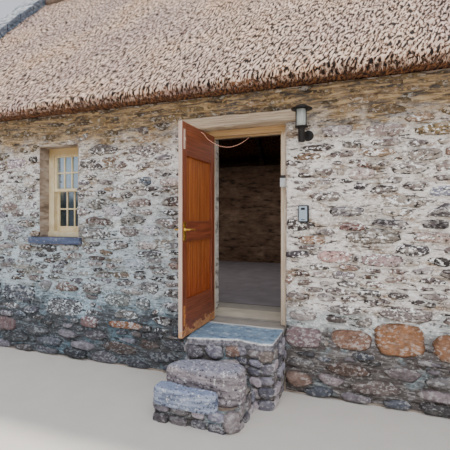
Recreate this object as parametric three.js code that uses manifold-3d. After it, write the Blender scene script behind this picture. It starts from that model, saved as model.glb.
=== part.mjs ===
// A thatched stone cottage with raised gables, sash windows and a boarded door that opens outwards.
// Millimetres. X runs along the front wall, Y into the house, Z up from the lowest ground.
// The origin is under the middle of the door, on the outer face of the front wall.
import * as THREE from "three";
import { mergeVertices } from "three/addons/utils/BufferGeometryUtils.js";
import Module from "manifold-3d";

const wasm = await Module();
wasm.setup();

// House
const threshold = 580; // top of the door slab and of the floor
const wallHead = threshold + 2350;
const wallThickness = 600;
const halfLength = 5700;
const houseDepth = 6000;
const parapetThickness = 450;
const plinthTop = threshold - 130;
const plinthOut = 70;
const seat = 0.3; // the gap left where sloping faces meet

// Roof
const roofSlope = Math.tan(THREE.MathUtils.degToRad(48));
const thatchRise = 480; // upright thickness of the thatch
const eaveOut = 240;
const eaveNose = 90; // height of the thatch's outer face above the wall head, at the eave
const parapetRise = 90; // parapet masonry above the thatch
const copingRise = 130;
const copingOut = 40;
const copingFoot = -300; // Y of the copings' lower ends
const corbelOut = 260; // how far the foot of a parapet stands out before the wall
const ridgeReach = 440; // from the ridge to the lower edges of the ridge thatch, along Y
const ridgeRise = 125;
const ridgeRound = 70; // half the width of its rounded top
const ridgeEnd = 50; // between the ridge thatch and the parapets
const purlinRise = 150; // upright depth taken by the purlins, over the couples
const purlinHalf = 60;
const ridgePoleHalf = 85;
const rafterRise = 224;
const couplePlaces = [-3800, -1300, 1300, 3800];
const coupleWidth = 90;
const collarHeight = 1400;
const collarWidth = 70;
const collarHalf = 70;
const collarLap = 60; // how far a collar runs into its rafters

// Chimney
const stackHalf = 450;
const stackRise = 650; // above the parapet's peak
const capOut = 30;
const capRise = 110;
const flueWall = 112;
const flueHalf = 225;
const flueDepth = 500;

// Doorway
const doorwayHalf = 450;
const revealDepth = 200; // straight outer part of the reveal, before the splay
const doorwayHalfInside = 490;
const frameFace = 100;
const frameBack = 200;
const rebateDepth = 46;
const rebateHalf = 385;
const stopHalf = 370;
const rebateTop = threshold + 1953;
const stopTop = threshold + 1940;
const lintelBottom = threshold + 2015;
const lintelTop = lintelBottom + 120;
const lintelOuter = [-700, 560];
const lintelSplit = 180; // the outer beam's thickness, with the inner beam behind it
const overDoorHalf = 800;

// Entrance
const slabThick = 80;
const slabUnder = threshold - slabThick;
const upperStepTop = threshold - 150;
const lowerStepTop = threshold - 280;
const stepBed = threshold - 430; // top of the packed stone that the steps lie on

// Door leaf, standing open at right angles to the wall
const hingeX = -382.5;
const hingeY = 92;
const leafFace = 8; // from the hinge line to the leaf's outer face
const leafThick = 40;
const leafNear = 2.5; // from the hinge line to the leaf's hinge edge
const leafWidth = 757;
const leafBottom = threshold + 8;
const leafTop = threshold + 1948;
const stileWidth = 90;
const boardThick = 20;
const topRail = 300;
const lockRailBottom = threshold + 865;
const lockRailTop = threshold + 1050;
const bottomRail = 330;
const handleHeight = threshold + 975;
const handleFromHinge = 715;
const plateHalf = 22;
const plateBelow = 100; // handle plate below and above the lever
const plateAbove = 70;
const plateThick = 5;
const leverReach = 115;
const leverHalf = 9;
const leverOut = 46; // from the leaf's face to the lever
const leverThick = 14;
const spindle = 8;
const boltReach = [55, 25]; // flush bolts, from the leaf's handle edge
const boltLength = 180;
const boltThick = 4;
const slideMargin = 9; // plate on each side of a bolt's thumb slide
const slideHalf = 12;
const slideThick = 10;
const cordRadius = 3.5;

// Lift-off hinges
const hingeFeet = { lower: threshold + 250, upper: threshold + 1650 };
const hingeRise = 92;
const hingeSplit = 42; // height where the door's half rests on the frame's
const hingePlate = 2;
const knuckle = 6.5;
const pin = 3;
const pinShort = 12; // the pin ends below the top of the knuckle

// Windows
const windowCentre = 2380;
const backWindowCentre = 3600;
const windowHalf = 300;
const windowHalfInside = 420;
const windowRecess = 147;
const windowFrameDepth = 100;
const windowBottom = threshold + 840;
const windowTop = threshold + 1970;
const boxHead = 80;
const boxFoot = 65;
const nosingOut = 14;
const sashHalf = 220;
const sashStile = 42;
const sashHead = 35;
const sashFoot = 70;
const meetingRail = threshold + 1418;
const meetingRise = 37;
const glassFront = windowRecess + 51;
const glassBack = glassFront + 4;
const sillEnds = [-440, 360]; // further to the left of the window than to the right
const sillOut = 50;
const sillBack = 230;
const sillDepth = 80;

// Beside the door
const lanternX = 630;
const lanternY = -140;
const lanternBase = threshold + 1785;
const lanternRounds = [
  [31, 0, 130], // radius, bottom and top of the tube, the cup and the two rounds of the cap
  [60, 130, 145],
  [99, 302, 312],
  [58, 310, 335],
];
const lanternGlass = [48, 145, 302];
const lanternRod = [4, 140, 304];
const lanternRodReach = 54;
const bracketHeight = threshold + 1880;
const bracketRadius = 55;
const bracketThick = 14;
const bracketHalf = 9;
const keySafeX = [580, 680];
const keySafeZ = [threshold + 1041, threshold + 1201];
const keySafeOut = 42;
const keySafeFace = 8; // its front plate stands out and is set in by as much
const bellX = [388, 446];
const bellZ = [threshold + 1386, threshold + 1475];
const bellFront = 24;
const bellCapInset = [4, 8]; // along X and along Y
const bellCapRise = 29;

const root = new THREE.Group();

// Solids from three.js geometry, and their joins and cuts

function solidOf(geometry) {
  const bare = geometry.clone();
  bare.deleteAttribute("normal");
  bare.deleteAttribute("uv");
  const merged = mergeVertices(bare, 1e-4);
  return new wasm.Manifold(
    new wasm.Mesh({
      numProp: 3,
      vertProperties: new Float32Array(merged.attributes.position.array),
      triVerts: new Uint32Array(merged.index.array),
    }),
  );
}

function geometryOf(solid) {
  const mesh = solid.getMesh();
  const geometry = new THREE.BufferGeometry();
  geometry.setAttribute("position", new THREE.BufferAttribute(mesh.vertProperties, 3));
  geometry.setIndex(new THREE.BufferAttribute(mesh.triVerts, 1));
  geometry.computeVertexNormals();
  return geometry;
}

function join(first, ...others) {
  return geometryOf(others.reduce((sum, other) => sum.add(solidOf(other)), solidOf(first)));
}

function cut(first, ...others) {
  return geometryOf(others.reduce((rest, other) => rest.subtract(solidOf(other)), solidOf(first)));
}

// Two places on an axis, the lower one first
function span(a, b) {
  return [Math.min(a, b), Math.max(a, b)];
}

// A box from its low and high limits along each axis
function block([x0, x1], [y0, y1], [z0, z1]) {
  const box = new THREE.BoxGeometry(x1 - x0, y1 - y0, z1 - z0);
  return box.translate((x0 + x1) / 2, (y0 + y1) / 2, (z0 + z1) / 2);
}

function outline(points) {
  return new THREE.Shape(points.map(([a, b]) => new THREE.Vector2(a, b)));
}

// A plan outline carried up from z0 to z1
function upright(points, z0, z1) {
  const solid = new THREE.ExtrudeGeometry(outline(points), { depth: z1 - z0, bevelEnabled: false });
  return solid.translate(0, 0, z0);
}

// An outline in Y and Z carried along X from x0 to x1
function lengthwise(points, x0, x1) {
  const solid = new THREE.ExtrudeGeometry(outline(points), { depth: x1 - x0, bevelEnabled: false });
  const turned = new THREE.Matrix4().makeBasis(
    new THREE.Vector3(0, 1, 0),
    new THREE.Vector3(0, 0, 1),
    new THREE.Vector3(1, 0, 0),
  );
  return solid.applyMatrix4(turned).translate(x0, 0, 0);
}

// A rough block: a plan outline with all its top and bottom edges eased
function boulder(points, z0, z1, ease) {
  const solid = new THREE.ExtrudeGeometry(outline(points), {
    depth: z1 - z0 - 2 * ease,
    bevelThickness: ease,
    bevelSize: ease,
    bevelOffset: -ease,
    bevelSegments: 2,
  });
  return solid.translate(0, 0, z0 + ease);
}

// An upright round bar
function bar(radius, z0, z1, sides = 24) {
  const solid = new THREE.CylinderGeometry(radius, radius, z1 - z0, sides);
  return solid.rotateX(Math.PI / 2).translate(0, 0, (z0 + z1) / 2);
}

function add(name, geometry, color, roughness = 0.9, metalness = 0) {
  const mesh = new THREE.Mesh(
    geometry,
    new THREE.MeshStandardMaterial({ color, roughness, metalness }),
  );
  mesh.name = name;
  root.add(mesh);
  return mesh;
}

// The same outline on the other side of the house's long axis
function mirrored(points) {
  return points.map(([y, z]) => [houseDepth - y, z]).reverse();
}

const stoneColor = "#9a8f88";
const timberColor = "#6b5340";
const joineryColor = "#dccdb0";

// Walls

const thatchFace = (y) => wallHead + eaveNose + (Math.min(y, houseDepth - y) + eaveOut) * roofSlope;
const thatchUnder = (y) => thatchFace(y) - thatchRise;
// where the underside of the thatch meets the wall head
const thatchHeel = (thatchRise - eaveNose) / roofSlope - eaveOut;
const ridgeY = houseDepth / 2;
const innerX = halfLength - wallThickness;
const parapetX = halfLength - parapetThickness;
const backY = houseDepth - wallThickness;

// A tapering way through a wall: straight for the first part, then wider towards the room
function wayThrough(centre, half, halfInside, straight, z0, z1) {
  const plan = [
    [-half, -1],
    [half, -1],
    [half, straight],
    [halfInside, wallThickness],
    [halfInside, wallThickness + 1],
    [-halfInside, wallThickness + 1],
    [-halfInside, wallThickness],
    [-half, straight],
  ];
  return upright(plan, z0, z1).translate(centre, 0, 0);
}

function windowCut(centre) {
  const way = wayThrough(
    centre,
    windowHalf,
    windowHalfInside,
    windowRecess + windowFrameDepth,
    windowBottom,
    windowTop,
  );
  return join(way, sillSlab(centre, -1));
}

// The slate under a window
function sillSlab(centre, front = -sillOut) {
  const ends = sillEnds.map((end) => centre + end);
  return block(ends, [front, sillBack], [windowBottom - sillDepth, windowBottom]);
}

function frontWall(side) {
  const near = side * doorwayHalf;
  const far = side * innerX;
  const plan = [
    [far, 0],
    [near, 0],
    [near, revealDepth],
    [side * doorwayHalfInside, wallThickness],
    [far, wallThickness],
  ];
  const body = upright(side < 0 ? plan : plan.reverse(), 0, wallHead);
  const plinth = block(span(near, far), [-plinthOut, 0], [0, plinthTop]);
  const lintelEnd = side < 0 ? lintelOuter[0] : lintelOuter[1];
  const bearings = [
    block(span(0, lintelEnd), [-1, lintelSplit], [lintelBottom, lintelTop]),
    block(span(0, side * overDoorHalf), [lintelSplit, wallThickness + 1], [lintelBottom, lintelTop]),
    block(span(0, side * overDoorHalf), [-1, wallThickness + 1], [lintelTop, wallHead + 1]),
  ];
  return cut(join(body, plinth), windowCut(side * windowCentre), ...bearings);
}

add("front_wall_left", frontWall(-1), stoneColor);
add("front_wall_right", frontWall(1), stoneColor);
add(
  "front_wall_over_door",
  block([-overDoorHalf, overDoorHalf], [0, wallThickness], [lintelTop, wallHead]),
  stoneColor,
);
add("door_lintel", block(lintelOuter, [0, lintelSplit], [lintelBottom, lintelTop]), "#c4b29a");
add(
  "door_lintel_inside",
  block([-overDoorHalf, overDoorHalf], [lintelSplit, wallThickness], [lintelBottom, lintelTop]),
  timberColor,
);

function turnedToBack(geometry) {
  return geometry.rotateZ(Math.PI).translate(0, houseDepth, 0);
}

function backWall() {
  const body = block([-innerX, innerX], [0, wallThickness], [0, wallHead]);
  const plinth = block([-innerX, innerX], [-plinthOut, 0], [0, plinthTop]);
  return turnedToBack(cut(join(body, plinth), windowCut(-backWindowCentre), windowCut(backWindowCentre)));
}

add("back_wall", backWall(), stoneColor);

// Half of a gable's outline, from the ground to near the ridge, with the corbelled foot of the parapet
const parapetTop = (y) => thatchFace(y) + parapetRise;
const gableFoot = [
  [0, 0],
  [0, wallHead - 330],
  [-140, wallHead - 250],
  [-corbelOut, wallHead - 100],
  [-corbelOut, parapetTop(-corbelOut)],
];
const gableLedge = [
  [0, 0],
  [0, wallHead],
  [thatchHeel, wallHead],
  [thatchHeel + seat, wallHead],
  [ridgeY, thatchUnder(ridgeY) - seat],
];

// Points between the feet are listed from back to front, so that the outline runs one way round
function gable(side, head) {
  const tall = [...gableFoot, ...head, ...mirrored(gableFoot)].reverse();
  const low = [...gableLedge, ...mirrored(gableLedge.slice(0, -1))].reverse();
  const outer = span(side * parapetX, side * halfLength);
  const inner = span(side * innerX, side * parapetX);
  const base = span(side * innerX, side * (halfLength + plinthOut));
  return join(
    lengthwise(tall, ...outer),
    lengthwise(low, ...inner),
    block(base, [-plinthOut, houseDepth + plinthOut], [0, plinthTop]),
  );
}

const stackSeat = parapetTop(ridgeY - stackHalf);
add("left_gable", gable(-1, [[ridgeY, parapetTop(ridgeY)]]), stoneColor);
add(
  "right_gable",
  gable(1, [
    [ridgeY - stackHalf, stackSeat],
    [ridgeY + stackHalf, stackSeat],
  ]),
  stoneColor,
);

// Chimney on the right gable, with a blind flue
function chimney() {
  const top = parapetTop(ridgeY) + stackRise;
  const capHalf = stackHalf + capOut;
  const body = block([parapetX, halfLength], [ridgeY - stackHalf, ridgeY + stackHalf], [stackSeat, top]);
  const cap = block(
    [parapetX - capOut, halfLength + capOut],
    [ridgeY - capHalf, ridgeY + capHalf],
    [top - capRise, top],
  );
  const flue = block(
    [parapetX + flueWall, halfLength - flueWall],
    [ridgeY - flueHalf, ridgeY + flueHalf],
    [top - flueDepth, top + 1],
  );
  return cut(join(body, cap), flue);
}

add("chimney_stack", chimney(), stoneColor);

// Copings

const copingUnder = (y) => parapetTop(y) + seat;
const copingTop = (y) => copingUnder(y) + copingRise;

function wholeCoping(x0, x1) {
  const under = [
    [copingFoot, copingUnder(copingFoot)],
    [ridgeY, copingUnder(ridgeY)],
    [houseDepth - copingFoot, copingUnder(copingFoot)],
  ];
  const over = [
    [houseDepth - copingFoot, copingTop(copingFoot)],
    [ridgeY, copingTop(ridgeY)],
    [copingFoot, copingTop(copingFoot)],
  ];
  return lengthwise([...under, ...over], x0, x1);
}

function halfCoping(x0, x1) {
  const end = ridgeY - stackHalf - seat;
  const points = [
    [copingFoot, copingUnder(copingFoot)],
    [end, copingUnder(end)],
    [end, copingTop(end)],
    [copingFoot, copingTop(copingFoot)],
  ];
  return lengthwise(points, x0, x1);
}

add("left_coping", wholeCoping(-halfLength - copingOut, -parapetX + copingOut), "#8b939c");
add("right_coping_front", halfCoping(parapetX - copingOut, halfLength + copingOut), "#8b939c");
add(
  "right_coping_back",
  turnedToBack(halfCoping(-halfLength - copingOut, -parapetX + copingOut)),
  "#8b939c",
);

// Thatch

const thatchSection = [
  [thatchHeel, wallHead],
  [ridgeY, thatchUnder(ridgeY)],
  [ridgeY, thatchFace(ridgeY)],
  [-eaveOut, thatchFace(-eaveOut)],
  [-eaveOut - 12, wallHead + 58],
  [-eaveOut, wallHead + 25],
  [-eaveOut + 32, wallHead],
];
add("front_thatch", lengthwise(thatchSection, -parapetX, parapetX), "#b39f8c", 1);
add("back_thatch", turnedToBack(lengthwise(thatchSection, -parapetX, parapetX)), "#b39f8c", 1);

function ridgeThatch() {
  const lift = (y, up) => [y, thatchFace(y) + up];
  const under = [
    lift(ridgeY - ridgeReach, 2 * seat),
    lift(ridgeY, 2 * seat),
    lift(ridgeY + ridgeReach, 2 * seat),
  ];
  const over = [
    lift(ridgeY + ridgeReach, ridgeRise / 2),
    lift(ridgeY + ridgeReach - 60, ridgeRise),
    lift(ridgeY + ridgeRound, ridgeRise),
    [ridgeY, thatchFace(ridgeY - ridgeRound) + ridgeRise + 25],
    lift(ridgeY - ridgeRound, ridgeRise),
    lift(ridgeY - ridgeReach + 60, ridgeRise),
    lift(ridgeY - ridgeReach, ridgeRise / 2),
  ];
  return lengthwise([...under, ...over], -parapetX + ridgeEnd, parapetX - ridgeEnd);
}

add("ridge_thatch", ridgeThatch(), "#a08d78", 1);

// Roof timbers

const rafterTop = (y) => thatchUnder(y) - purlinRise;
const rafterUnder = (y) => rafterTop(y) - rafterRise;
const rafterHeel = thatchHeel + purlinRise / roofSlope;
const rafterToe = rafterHeel + rafterRise / roofSlope;

function couple(x) {
  const half = [
    [rafterHeel, wallHead],
    [rafterToe, wallHead],
    [ridgeY, rafterUnder(ridgeY)],
  ];
  const back = mirrored(half).slice(1);
  const frame = lengthwise(
    [...half, ...back, [ridgeY, rafterTop(ridgeY)]],
    x - coupleWidth / 2,
    x + coupleWidth / 2,
  );
  const middle = wallHead + collarHeight;
  const reach = rafterToe + collarHeight / roofSlope - collarLap;
  const collar = block(
    [x - collarWidth / 2, x + collarWidth / 2],
    [reach, houseDepth - reach],
    [middle - collarHalf, middle + collarHalf],
  );
  return join(frame, collar);
}

for (const [i, x] of couplePlaces.entries()) {
  add(`couple_${i + 1}`, couple(x), timberColor);
}

function purlin() {
  const y = ridgeY / 2;
  const along = new THREE.Vector2(1, roofSlope).normalize();
  const down = new THREE.Vector2(along.y, -along.x);
  const point = new THREE.Vector2(y, thatchUnder(y));
  const depth = purlinRise * along.x;
  const corner = (a, d) => point.clone().addScaledVector(along, a).addScaledVector(down, d).toArray();
  const section = [
    corner(-purlinHalf, seat),
    corner(-purlinHalf, depth - seat),
    corner(purlinHalf, depth - seat),
    corner(purlinHalf, seat),
  ];
  return lengthwise(section, -innerX, innerX);
}

add("front_purlin", purlin(), timberColor);
add("back_purlin", turnedToBack(purlin()), timberColor);

function ridgePole() {
  const ys = [ridgeY - ridgePoleHalf, ridgeY, ridgeY + ridgePoleHalf];
  const top = ys.map((y) => [y, thatchUnder(y) - 2 * seat]);
  const bottom = ys.map((y) => [y, rafterTop(y) + 2 * seat]);
  const section = [...bottom, ...top.reverse()];
  return lengthwise(section, -innerX, innerX);
}

add("ridge_pole", ridgePole(), timberColor);

// Floor, entrance and steps

function floor() {
  const room = block([-innerX, innerX], [wallThickness, backY], [0, threshold]);
  const tongue = upright(
    [
      [-doorwayHalf, revealDepth],
      [doorwayHalf, revealDepth],
      [doorwayHalfInside, wallThickness],
      [-doorwayHalfInside, wallThickness],
    ],
    slabUnder,
    threshold,
  );
  return join(room, tongue);
}

add("floor", floor(), "#b9b1a4");

// Rubble under the door slab, with the packed stone that the steps lie on
function entranceBase() {
  const body = upright(
    [
      [-doorwayHalfInside, wallThickness],
      [-doorwayHalf, revealDepth],
      [-doorwayHalf, 0],
      [-400, 0],
      [-400, -75],
      [-325, -545],
      [115, -435],
      [335, -490],
      [430, -465],
      [430, 0],
      [doorwayHalf, 0],
      [doorwayHalf, revealDepth],
      [doorwayHalfInside, wallThickness],
    ],
    0,
    slabUnder,
  );
  const bed = upright(
    [
      [-430, -960],
      [180, -960],
      [260, -880],
      [260, -420],
      [-300, -420],
      [-430, -600],
    ],
    0,
    stepBed,
  );
  return join(body, bed);
}

add("entrance_base", entranceBase(), "#7d7672");

const slabPlan = [
  [-doorwayHalf, revealDepth],
  [-doorwayHalf, 0],
  [-410, 0],
  [-335, -570],
  [115, -455],
  [345, -510],
  [440, -480],
  [440, 0],
  [doorwayHalf, 0],
  [doorwayHalf, revealDepth],
];
add("door_slab", upright(slabPlan, slabUnder, threshold), "#7b93a3", 0.7);

const upperStepPlan = [
  [-425, -850],
  [-60, -905],
  [190, -880],
  [290, -780],
  [270, -640],
  [180, -560],
  [-180, -585],
  [-400, -720],
];
add("upper_step", boulder(upperStepPlan, stepBed, upperStepTop, 40), "#958d88");

const lowerStepPlan = [
  [-460, -1000],
  [-180, -1040],
  [60, -1030],
  [120, -975],
  [130, -930],
  [-60, -915],
  [-430, -865],
];
add("lower_step", boulder(lowerStepPlan, stepBed, lowerStepTop, 18), "#6d7484");

// Windows

// A frame that stands in the wall: limits in Y and Z, then the widths of its sides, head and foot
function ring(half, [y0, y1], [z0, z1], [side, head, foot]) {
  return cut(
    block([-half, half], [y0, y1], [z0, z1]),
    block([-half + side, half - side], [y0 - 1, y1 + 1], [z0 + foot, z1 - head]),
  );
}

const sashBottom = windowBottom + boxFoot;
const sashTop = windowTop - boxHead;

// The box frame with its nosing, the upper sash outside and the lower one inside
function windowJoinery() {
  const face = windowRecess;
  const back = windowRecess + windowFrameDepth;
  const boxSide = windowHalf - sashHalf;
  const boxRings = [boxSide, boxHead, boxFoot];
  const meetingTop = meetingRail + meetingRise;
  return join(
    ring(windowHalf, [face, back], [windowBottom, windowTop], boxRings),
    ring(
      sashHalf,
      [face + 8, glassFront - seat],
      [meetingRail, sashTop],
      [sashStile, sashHead, meetingRise],
    ),
    ring(
      sashHalf,
      [glassBack + seat, back - 2],
      [sashBottom, meetingTop],
      [sashStile, meetingRise, sashFoot],
    ),
    block([-windowHalf, windowHalf], [face - nosingOut, face], [windowBottom, sashBottom]),
  );
}

function windowGlass() {
  return block(
    [-sashHalf + seat, sashHalf - seat],
    [glassFront, glassBack],
    [sashBottom + seat, sashTop - seat],
  );
}

const windows = [
  ["front_left_window", -windowCentre, false],
  ["front_right_window", windowCentre, false],
  ["back_left_window", backWindowCentre, true],
  ["back_right_window", -backWindowCentre, true],
];
for (const [name, x, atBack] of windows) {
  const place = (geometry) => (atBack ? turnedToBack(geometry) : geometry);
  add(name, place(windowJoinery().translate(x, 0, 0)), "#dccaa0", 0.5);
  add(`${name}_glass`, place(windowGlass().translate(x, 0, 0)), "#cfd8dc", 0.05);
  add(`${name}_sill`, place(sillSlab(x)), "#5a5f70", 0.7);
}

// Door frame

function doorFrame() {
  const jamb = (side) => {
    const outer = side * doorwayHalf;
    const height = [threshold, lintelBottom];
    return join(
      block(span(side * rebateHalf, outer), [frameFace, frameBack], height),
      block(span(side * stopHalf, outer), [frameFace + rebateDepth, frameBack], height),
    );
  };
  const across = [-doorwayHalf, doorwayHalf];
  return join(
    jamb(-1),
    jamb(1),
    block(across, [frameFace, frameBack], [rebateTop, lintelBottom]),
    block(across, [frameFace + rebateDepth, frameBack], [stopTop, lintelBottom]),
  );
}

add("door_frame", doorFrame(), joineryColor, 0.6);

// Door leaf. Reach is measured from the hinge line towards the handle side,
// depth from the hinge line towards the face that looks into the room when shut.

function onLeaf(reach, depth, height) {
  return block([hingeX + depth[0], hingeX + depth[1]], [hingeY - reach[1], hingeY - reach[0]], height);
}

const leafFar = leafNear + leafWidth;
const leafBack = leafFace + leafThick;
const railFace = leafFace + boardThick; // the boards pass outside the two lower rails
const topRailBottom = leafTop - topRail;
const bottomRailTop = leafBottom + bottomRail;
const boardReach = [leafNear + stileWidth, leafFar - stileWidth];

function leafFrame() {
  const whole = onLeaf([leafNear, leafFar], [leafFace, leafBack], [leafBottom, leafTop]);
  const panels = [
    onLeaf(boardReach, [leafFace - 1, leafBack + 1], [bottomRailTop, lockRailBottom]),
    onLeaf(boardReach, [leafFace - 1, leafBack + 1], [lockRailTop, topRailBottom]),
    onLeaf(boardReach, [leafFace - 1, railFace], [leafBottom - 1, topRailBottom]),
  ];
  return cut(whole, ...panels, spindleHole());
}

function boards() {
  return onLeaf(boardReach, [leafFace, railFace], [leafBottom, topRailBottom]);
}

// The handle sits on the stile, so that its spindle passes through one timber
function spindleHole() {
  const half = spindle / 2 + seat;
  return onLeaf(
    [handleFromHinge - half, handleFromHinge + half],
    [leafFace - 1, leafBack + 1],
    [handleHeight - half, handleHeight + half],
  );
}

// A plate, a neck and a lever on each face of the leaf
function handles() {
  const at = handleFromHinge;
  const height = [handleHeight - leverHalf, handleHeight + leverHalf];
  const half = spindle / 2;
  const parts = [
    onLeaf(
      [at - half, at + half],
      [leafFace - plateThick + 1, leafBack + plateThick - 1],
      [handleHeight - half, handleHeight + half],
    ),
  ];
  for (const [face, out] of [[leafFace, -1], [leafBack, 1]]) {
    const depth = (from, to) => span(face + out * from, face + out * to);
    parts.push(
      onLeaf(
        [at - plateHalf, at + plateHalf],
        depth(0, plateThick),
        [handleHeight - plateBelow, handleHeight + plateAbove],
      ),
      onLeaf([at - leverHalf, at + leverHalf], depth(plateThick, leverOut + 4), height),
      onLeaf([at - leverReach, at + leverHalf], depth(leverOut, leverOut + leverThick), height),
    );
  }
  return join(...parts);
}

add("door_frame_and_rails", leafFrame(), "#7a3a22", 0.5);
add("door_boards", boards(), "#a0561f", 0.5);
add("door_handles", handles(), "#e0b83c", 0.3, 0.9);

// Flush bolts: a plate on the inner face, with a small thumb slide
function flushBolt(bottom) {
  const [near, far] = boltReach.map((reach) => leafFar - reach);
  const middle = bottom + boltLength / 2;
  const face = leafBack + boltThick;
  return join(
    onLeaf([near, far], [leafBack, face], [bottom, bottom + boltLength]),
    onLeaf(
      [near + slideMargin, far - slideMargin],
      [face, face + slideThick],
      [middle - slideHalf, middle + slideHalf],
    ),
  );
}

add("flush_bolt_top", flushBolt(threshold + 1700), "#e6d2c4", 0.4, 0.3);
add("flush_bolt_bottom", flushBolt(threshold + 110), "#c98a4e", 0.4, 0.3);

// Lift-off hinges: the frame's half carries the pin, and the door's half turns on it

function atHinge(geometry) {
  return geometry.translate(hingeX, hingeY, 0);
}

function frameHinge(z) {
  const split = z + hingeSplit;
  return join(
    block([-rebateHalf, -rebateHalf + hingePlate], [hingeY, frameFace + 36], [z, split]),
    atHinge(bar(knuckle, z, split)),
    atHinge(bar(pin, split, z + hingeRise - pinShort)),
  );
}

function doorHinge(z) {
  const z0 = z + hingeSplit + seat;
  const z1 = z + hingeRise;
  const hub = join(
    atHinge(bar(knuckle, z0, z1)),
    onLeaf([0, leafNear - hingePlate / 4], [0, leafBack - 6], [z0, z1]),
  );
  return cut(hub, atHinge(bar(pin + 0.5, z0 - 1, z1 - 8)));
}

for (const [place, z] of Object.entries(hingeFeet)) {
  add(`${place}_hinge_on_frame`, frameHinge(z), "#4a4642", 0.5, 0.8);
  add(`${place}_hinge_on_door`, doorHinge(z), "#4a4642", 0.5, 0.8);
}

// Cord from the leaf's top to a staple under the door head. It holds the leaf when it is open.
const cordRoute = [
  [-334, -265, 1920],
  [-325, -265, 1920],
  [-310, -250, 1906],
  [-290, -211, 1868],
  [-268, -183, 1848],
  [-245, -156, 1831],
  [-223, -129, 1818],
  [-201, -102, 1809],
  [-178, -75, 1804],
  [-156, -48, 1803],
  [-134, -20, 1806],
  [-112, 7, 1813],
  [-89, 34, 1824],
  [-67, 61, 1838],
  [-45, 88, 1856],
  [-22, 116, 1877],
  [2, 144, 1902],
  [16, 161, 1920],
  [20, 166, 1930],
  [20, 166, 1939.6],
];

function cord() {
  const points = cordRoute.map(([x, y, z]) => new THREE.Vector3(x, y, threshold + z));
  const circle = new THREE.Shape(
    Array.from({ length: 8 }, (unused, i) => {
      const turn = (i / 8) * 2 * Math.PI;
      return new THREE.Vector2(cordRadius * Math.cos(turn), cordRadius * Math.sin(turn));
    }),
  );
  const path = new THREE.CatmullRomCurve3(points);
  return new THREE.ExtrudeGeometry(circle, { steps: 40, extrudePath: path });
}

add("door_cord", cord(), "#d9907a", 0.9);

// Lantern on a bracket beside the door

function lanternBar([radius, bottom, top], sides = 32) {
  return bar(radius, lanternBase + bottom, lanternBase + top, sides).translate(lanternX, lanternY, 0);
}

function lanternMetal() {
  const rounds = lanternRounds.map((round) => lanternBar(round));
  const rods = [0, 1, 2].map((i) => {
    const turn = Math.PI / 2 + (i * 2 * Math.PI) / 3;
    const place = [lanternRodReach * Math.cos(turn), lanternRodReach * Math.sin(turn), 0];
    return lanternBar(lanternRod, 10).translate(...place);
  });
  const disc = new THREE.CylinderGeometry(bracketRadius, bracketRadius, bracketThick, 32);
  disc.translate(lanternX, -bracketThick / 2, bracketHeight);
  const arm = block(
    [lanternX - bracketHalf, lanternX + bracketHalf],
    [lanternY, 4 - bracketThick],
    [bracketHeight - 10, bracketHeight + 10],
  );
  return join(...rounds, ...rods, disc, arm);
}

add("lantern", lanternMetal(), "#3c3836", 0.5, 0.6);
add("lantern_glass", lanternBar(lanternGlass), "#c8cfc8", 0.2);

// Key safe and bell box beside the door

function keySafe() {
  const inset = ([low, high]) => [low + keySafeFace, high - keySafeFace];
  return join(
    block(keySafeX, [-keySafeOut, 0], keySafeZ),
    block(inset(keySafeX), [-keySafeOut - keySafeFace, -keySafeOut], inset(keySafeZ)),
  );
}

add("key_safe", keySafe(), "#3a3d42", 0.5, 0.4);

function bellBox() {
  const [side, front] = bellCapInset;
  return join(
    block(bellX, [bellFront, frameFace], bellZ),
    block(
      [bellX[0] + side, bellX[1] - side],
      [bellFront + front, frameFace],
      [bellZ[1], bellZ[1] + bellCapRise],
    ),
  );
}

add("bell_box", bellBox(), "#b9bcbc", 0.6);

export default root;
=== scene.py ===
import math
import bpy
import numpy as np
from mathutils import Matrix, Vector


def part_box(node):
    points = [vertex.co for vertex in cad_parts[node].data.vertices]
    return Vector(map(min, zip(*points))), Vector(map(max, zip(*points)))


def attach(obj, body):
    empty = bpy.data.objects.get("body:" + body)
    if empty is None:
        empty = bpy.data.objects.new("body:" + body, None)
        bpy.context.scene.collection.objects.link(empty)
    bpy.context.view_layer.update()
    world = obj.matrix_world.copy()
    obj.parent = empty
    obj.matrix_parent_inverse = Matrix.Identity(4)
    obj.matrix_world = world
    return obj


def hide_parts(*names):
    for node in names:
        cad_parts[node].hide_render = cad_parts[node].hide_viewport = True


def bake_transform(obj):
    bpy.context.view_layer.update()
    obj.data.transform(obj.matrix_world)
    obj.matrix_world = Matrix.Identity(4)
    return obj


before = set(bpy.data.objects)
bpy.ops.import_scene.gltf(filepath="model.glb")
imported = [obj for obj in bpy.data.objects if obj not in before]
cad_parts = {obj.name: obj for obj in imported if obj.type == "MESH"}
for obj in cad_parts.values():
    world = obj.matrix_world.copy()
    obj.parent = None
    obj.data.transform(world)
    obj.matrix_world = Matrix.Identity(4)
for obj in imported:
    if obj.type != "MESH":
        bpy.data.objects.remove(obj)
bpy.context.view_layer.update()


def limits(name):
    low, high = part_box(name)
    return np.array(low), np.array(high)


# Levels and faces that the pieces sit on, read from the frame
wallLow = limits("front_wall_left")[0]
overLow, overHigh = limits("front_wall_over_door")
slabLow, slabHigh = limits("door_slab")
thatchHigh = limits("front_thatch")[1]
gableLow = limits("left_gable")[0]
lintelLow, lintelHigh = limits("door_lintel")
level = slabHigh[2]                     # top of the door slab and of the floor
wallHead = overHigh[2]
plinthOut = overLow[1] - wallLow[1]
plinthTop = level - 0.13
halfLength = -gableLow[0] - plinthOut
parapetX = thatchHigh[0]                # where the thatch stops against the raised gables
ridgeY = thatchHigh[1]
depth = 2 * ridgeY
roofPitch = math.radians(48)
eaveOut = 0.24
eaveLift = 0.09
eaveFace = wallHead + eaveLift          # height of the thatch's face where it reaches out by eaveOut
parapetRise = 0.09                      # how far the gables' masonry stands over that face


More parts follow.
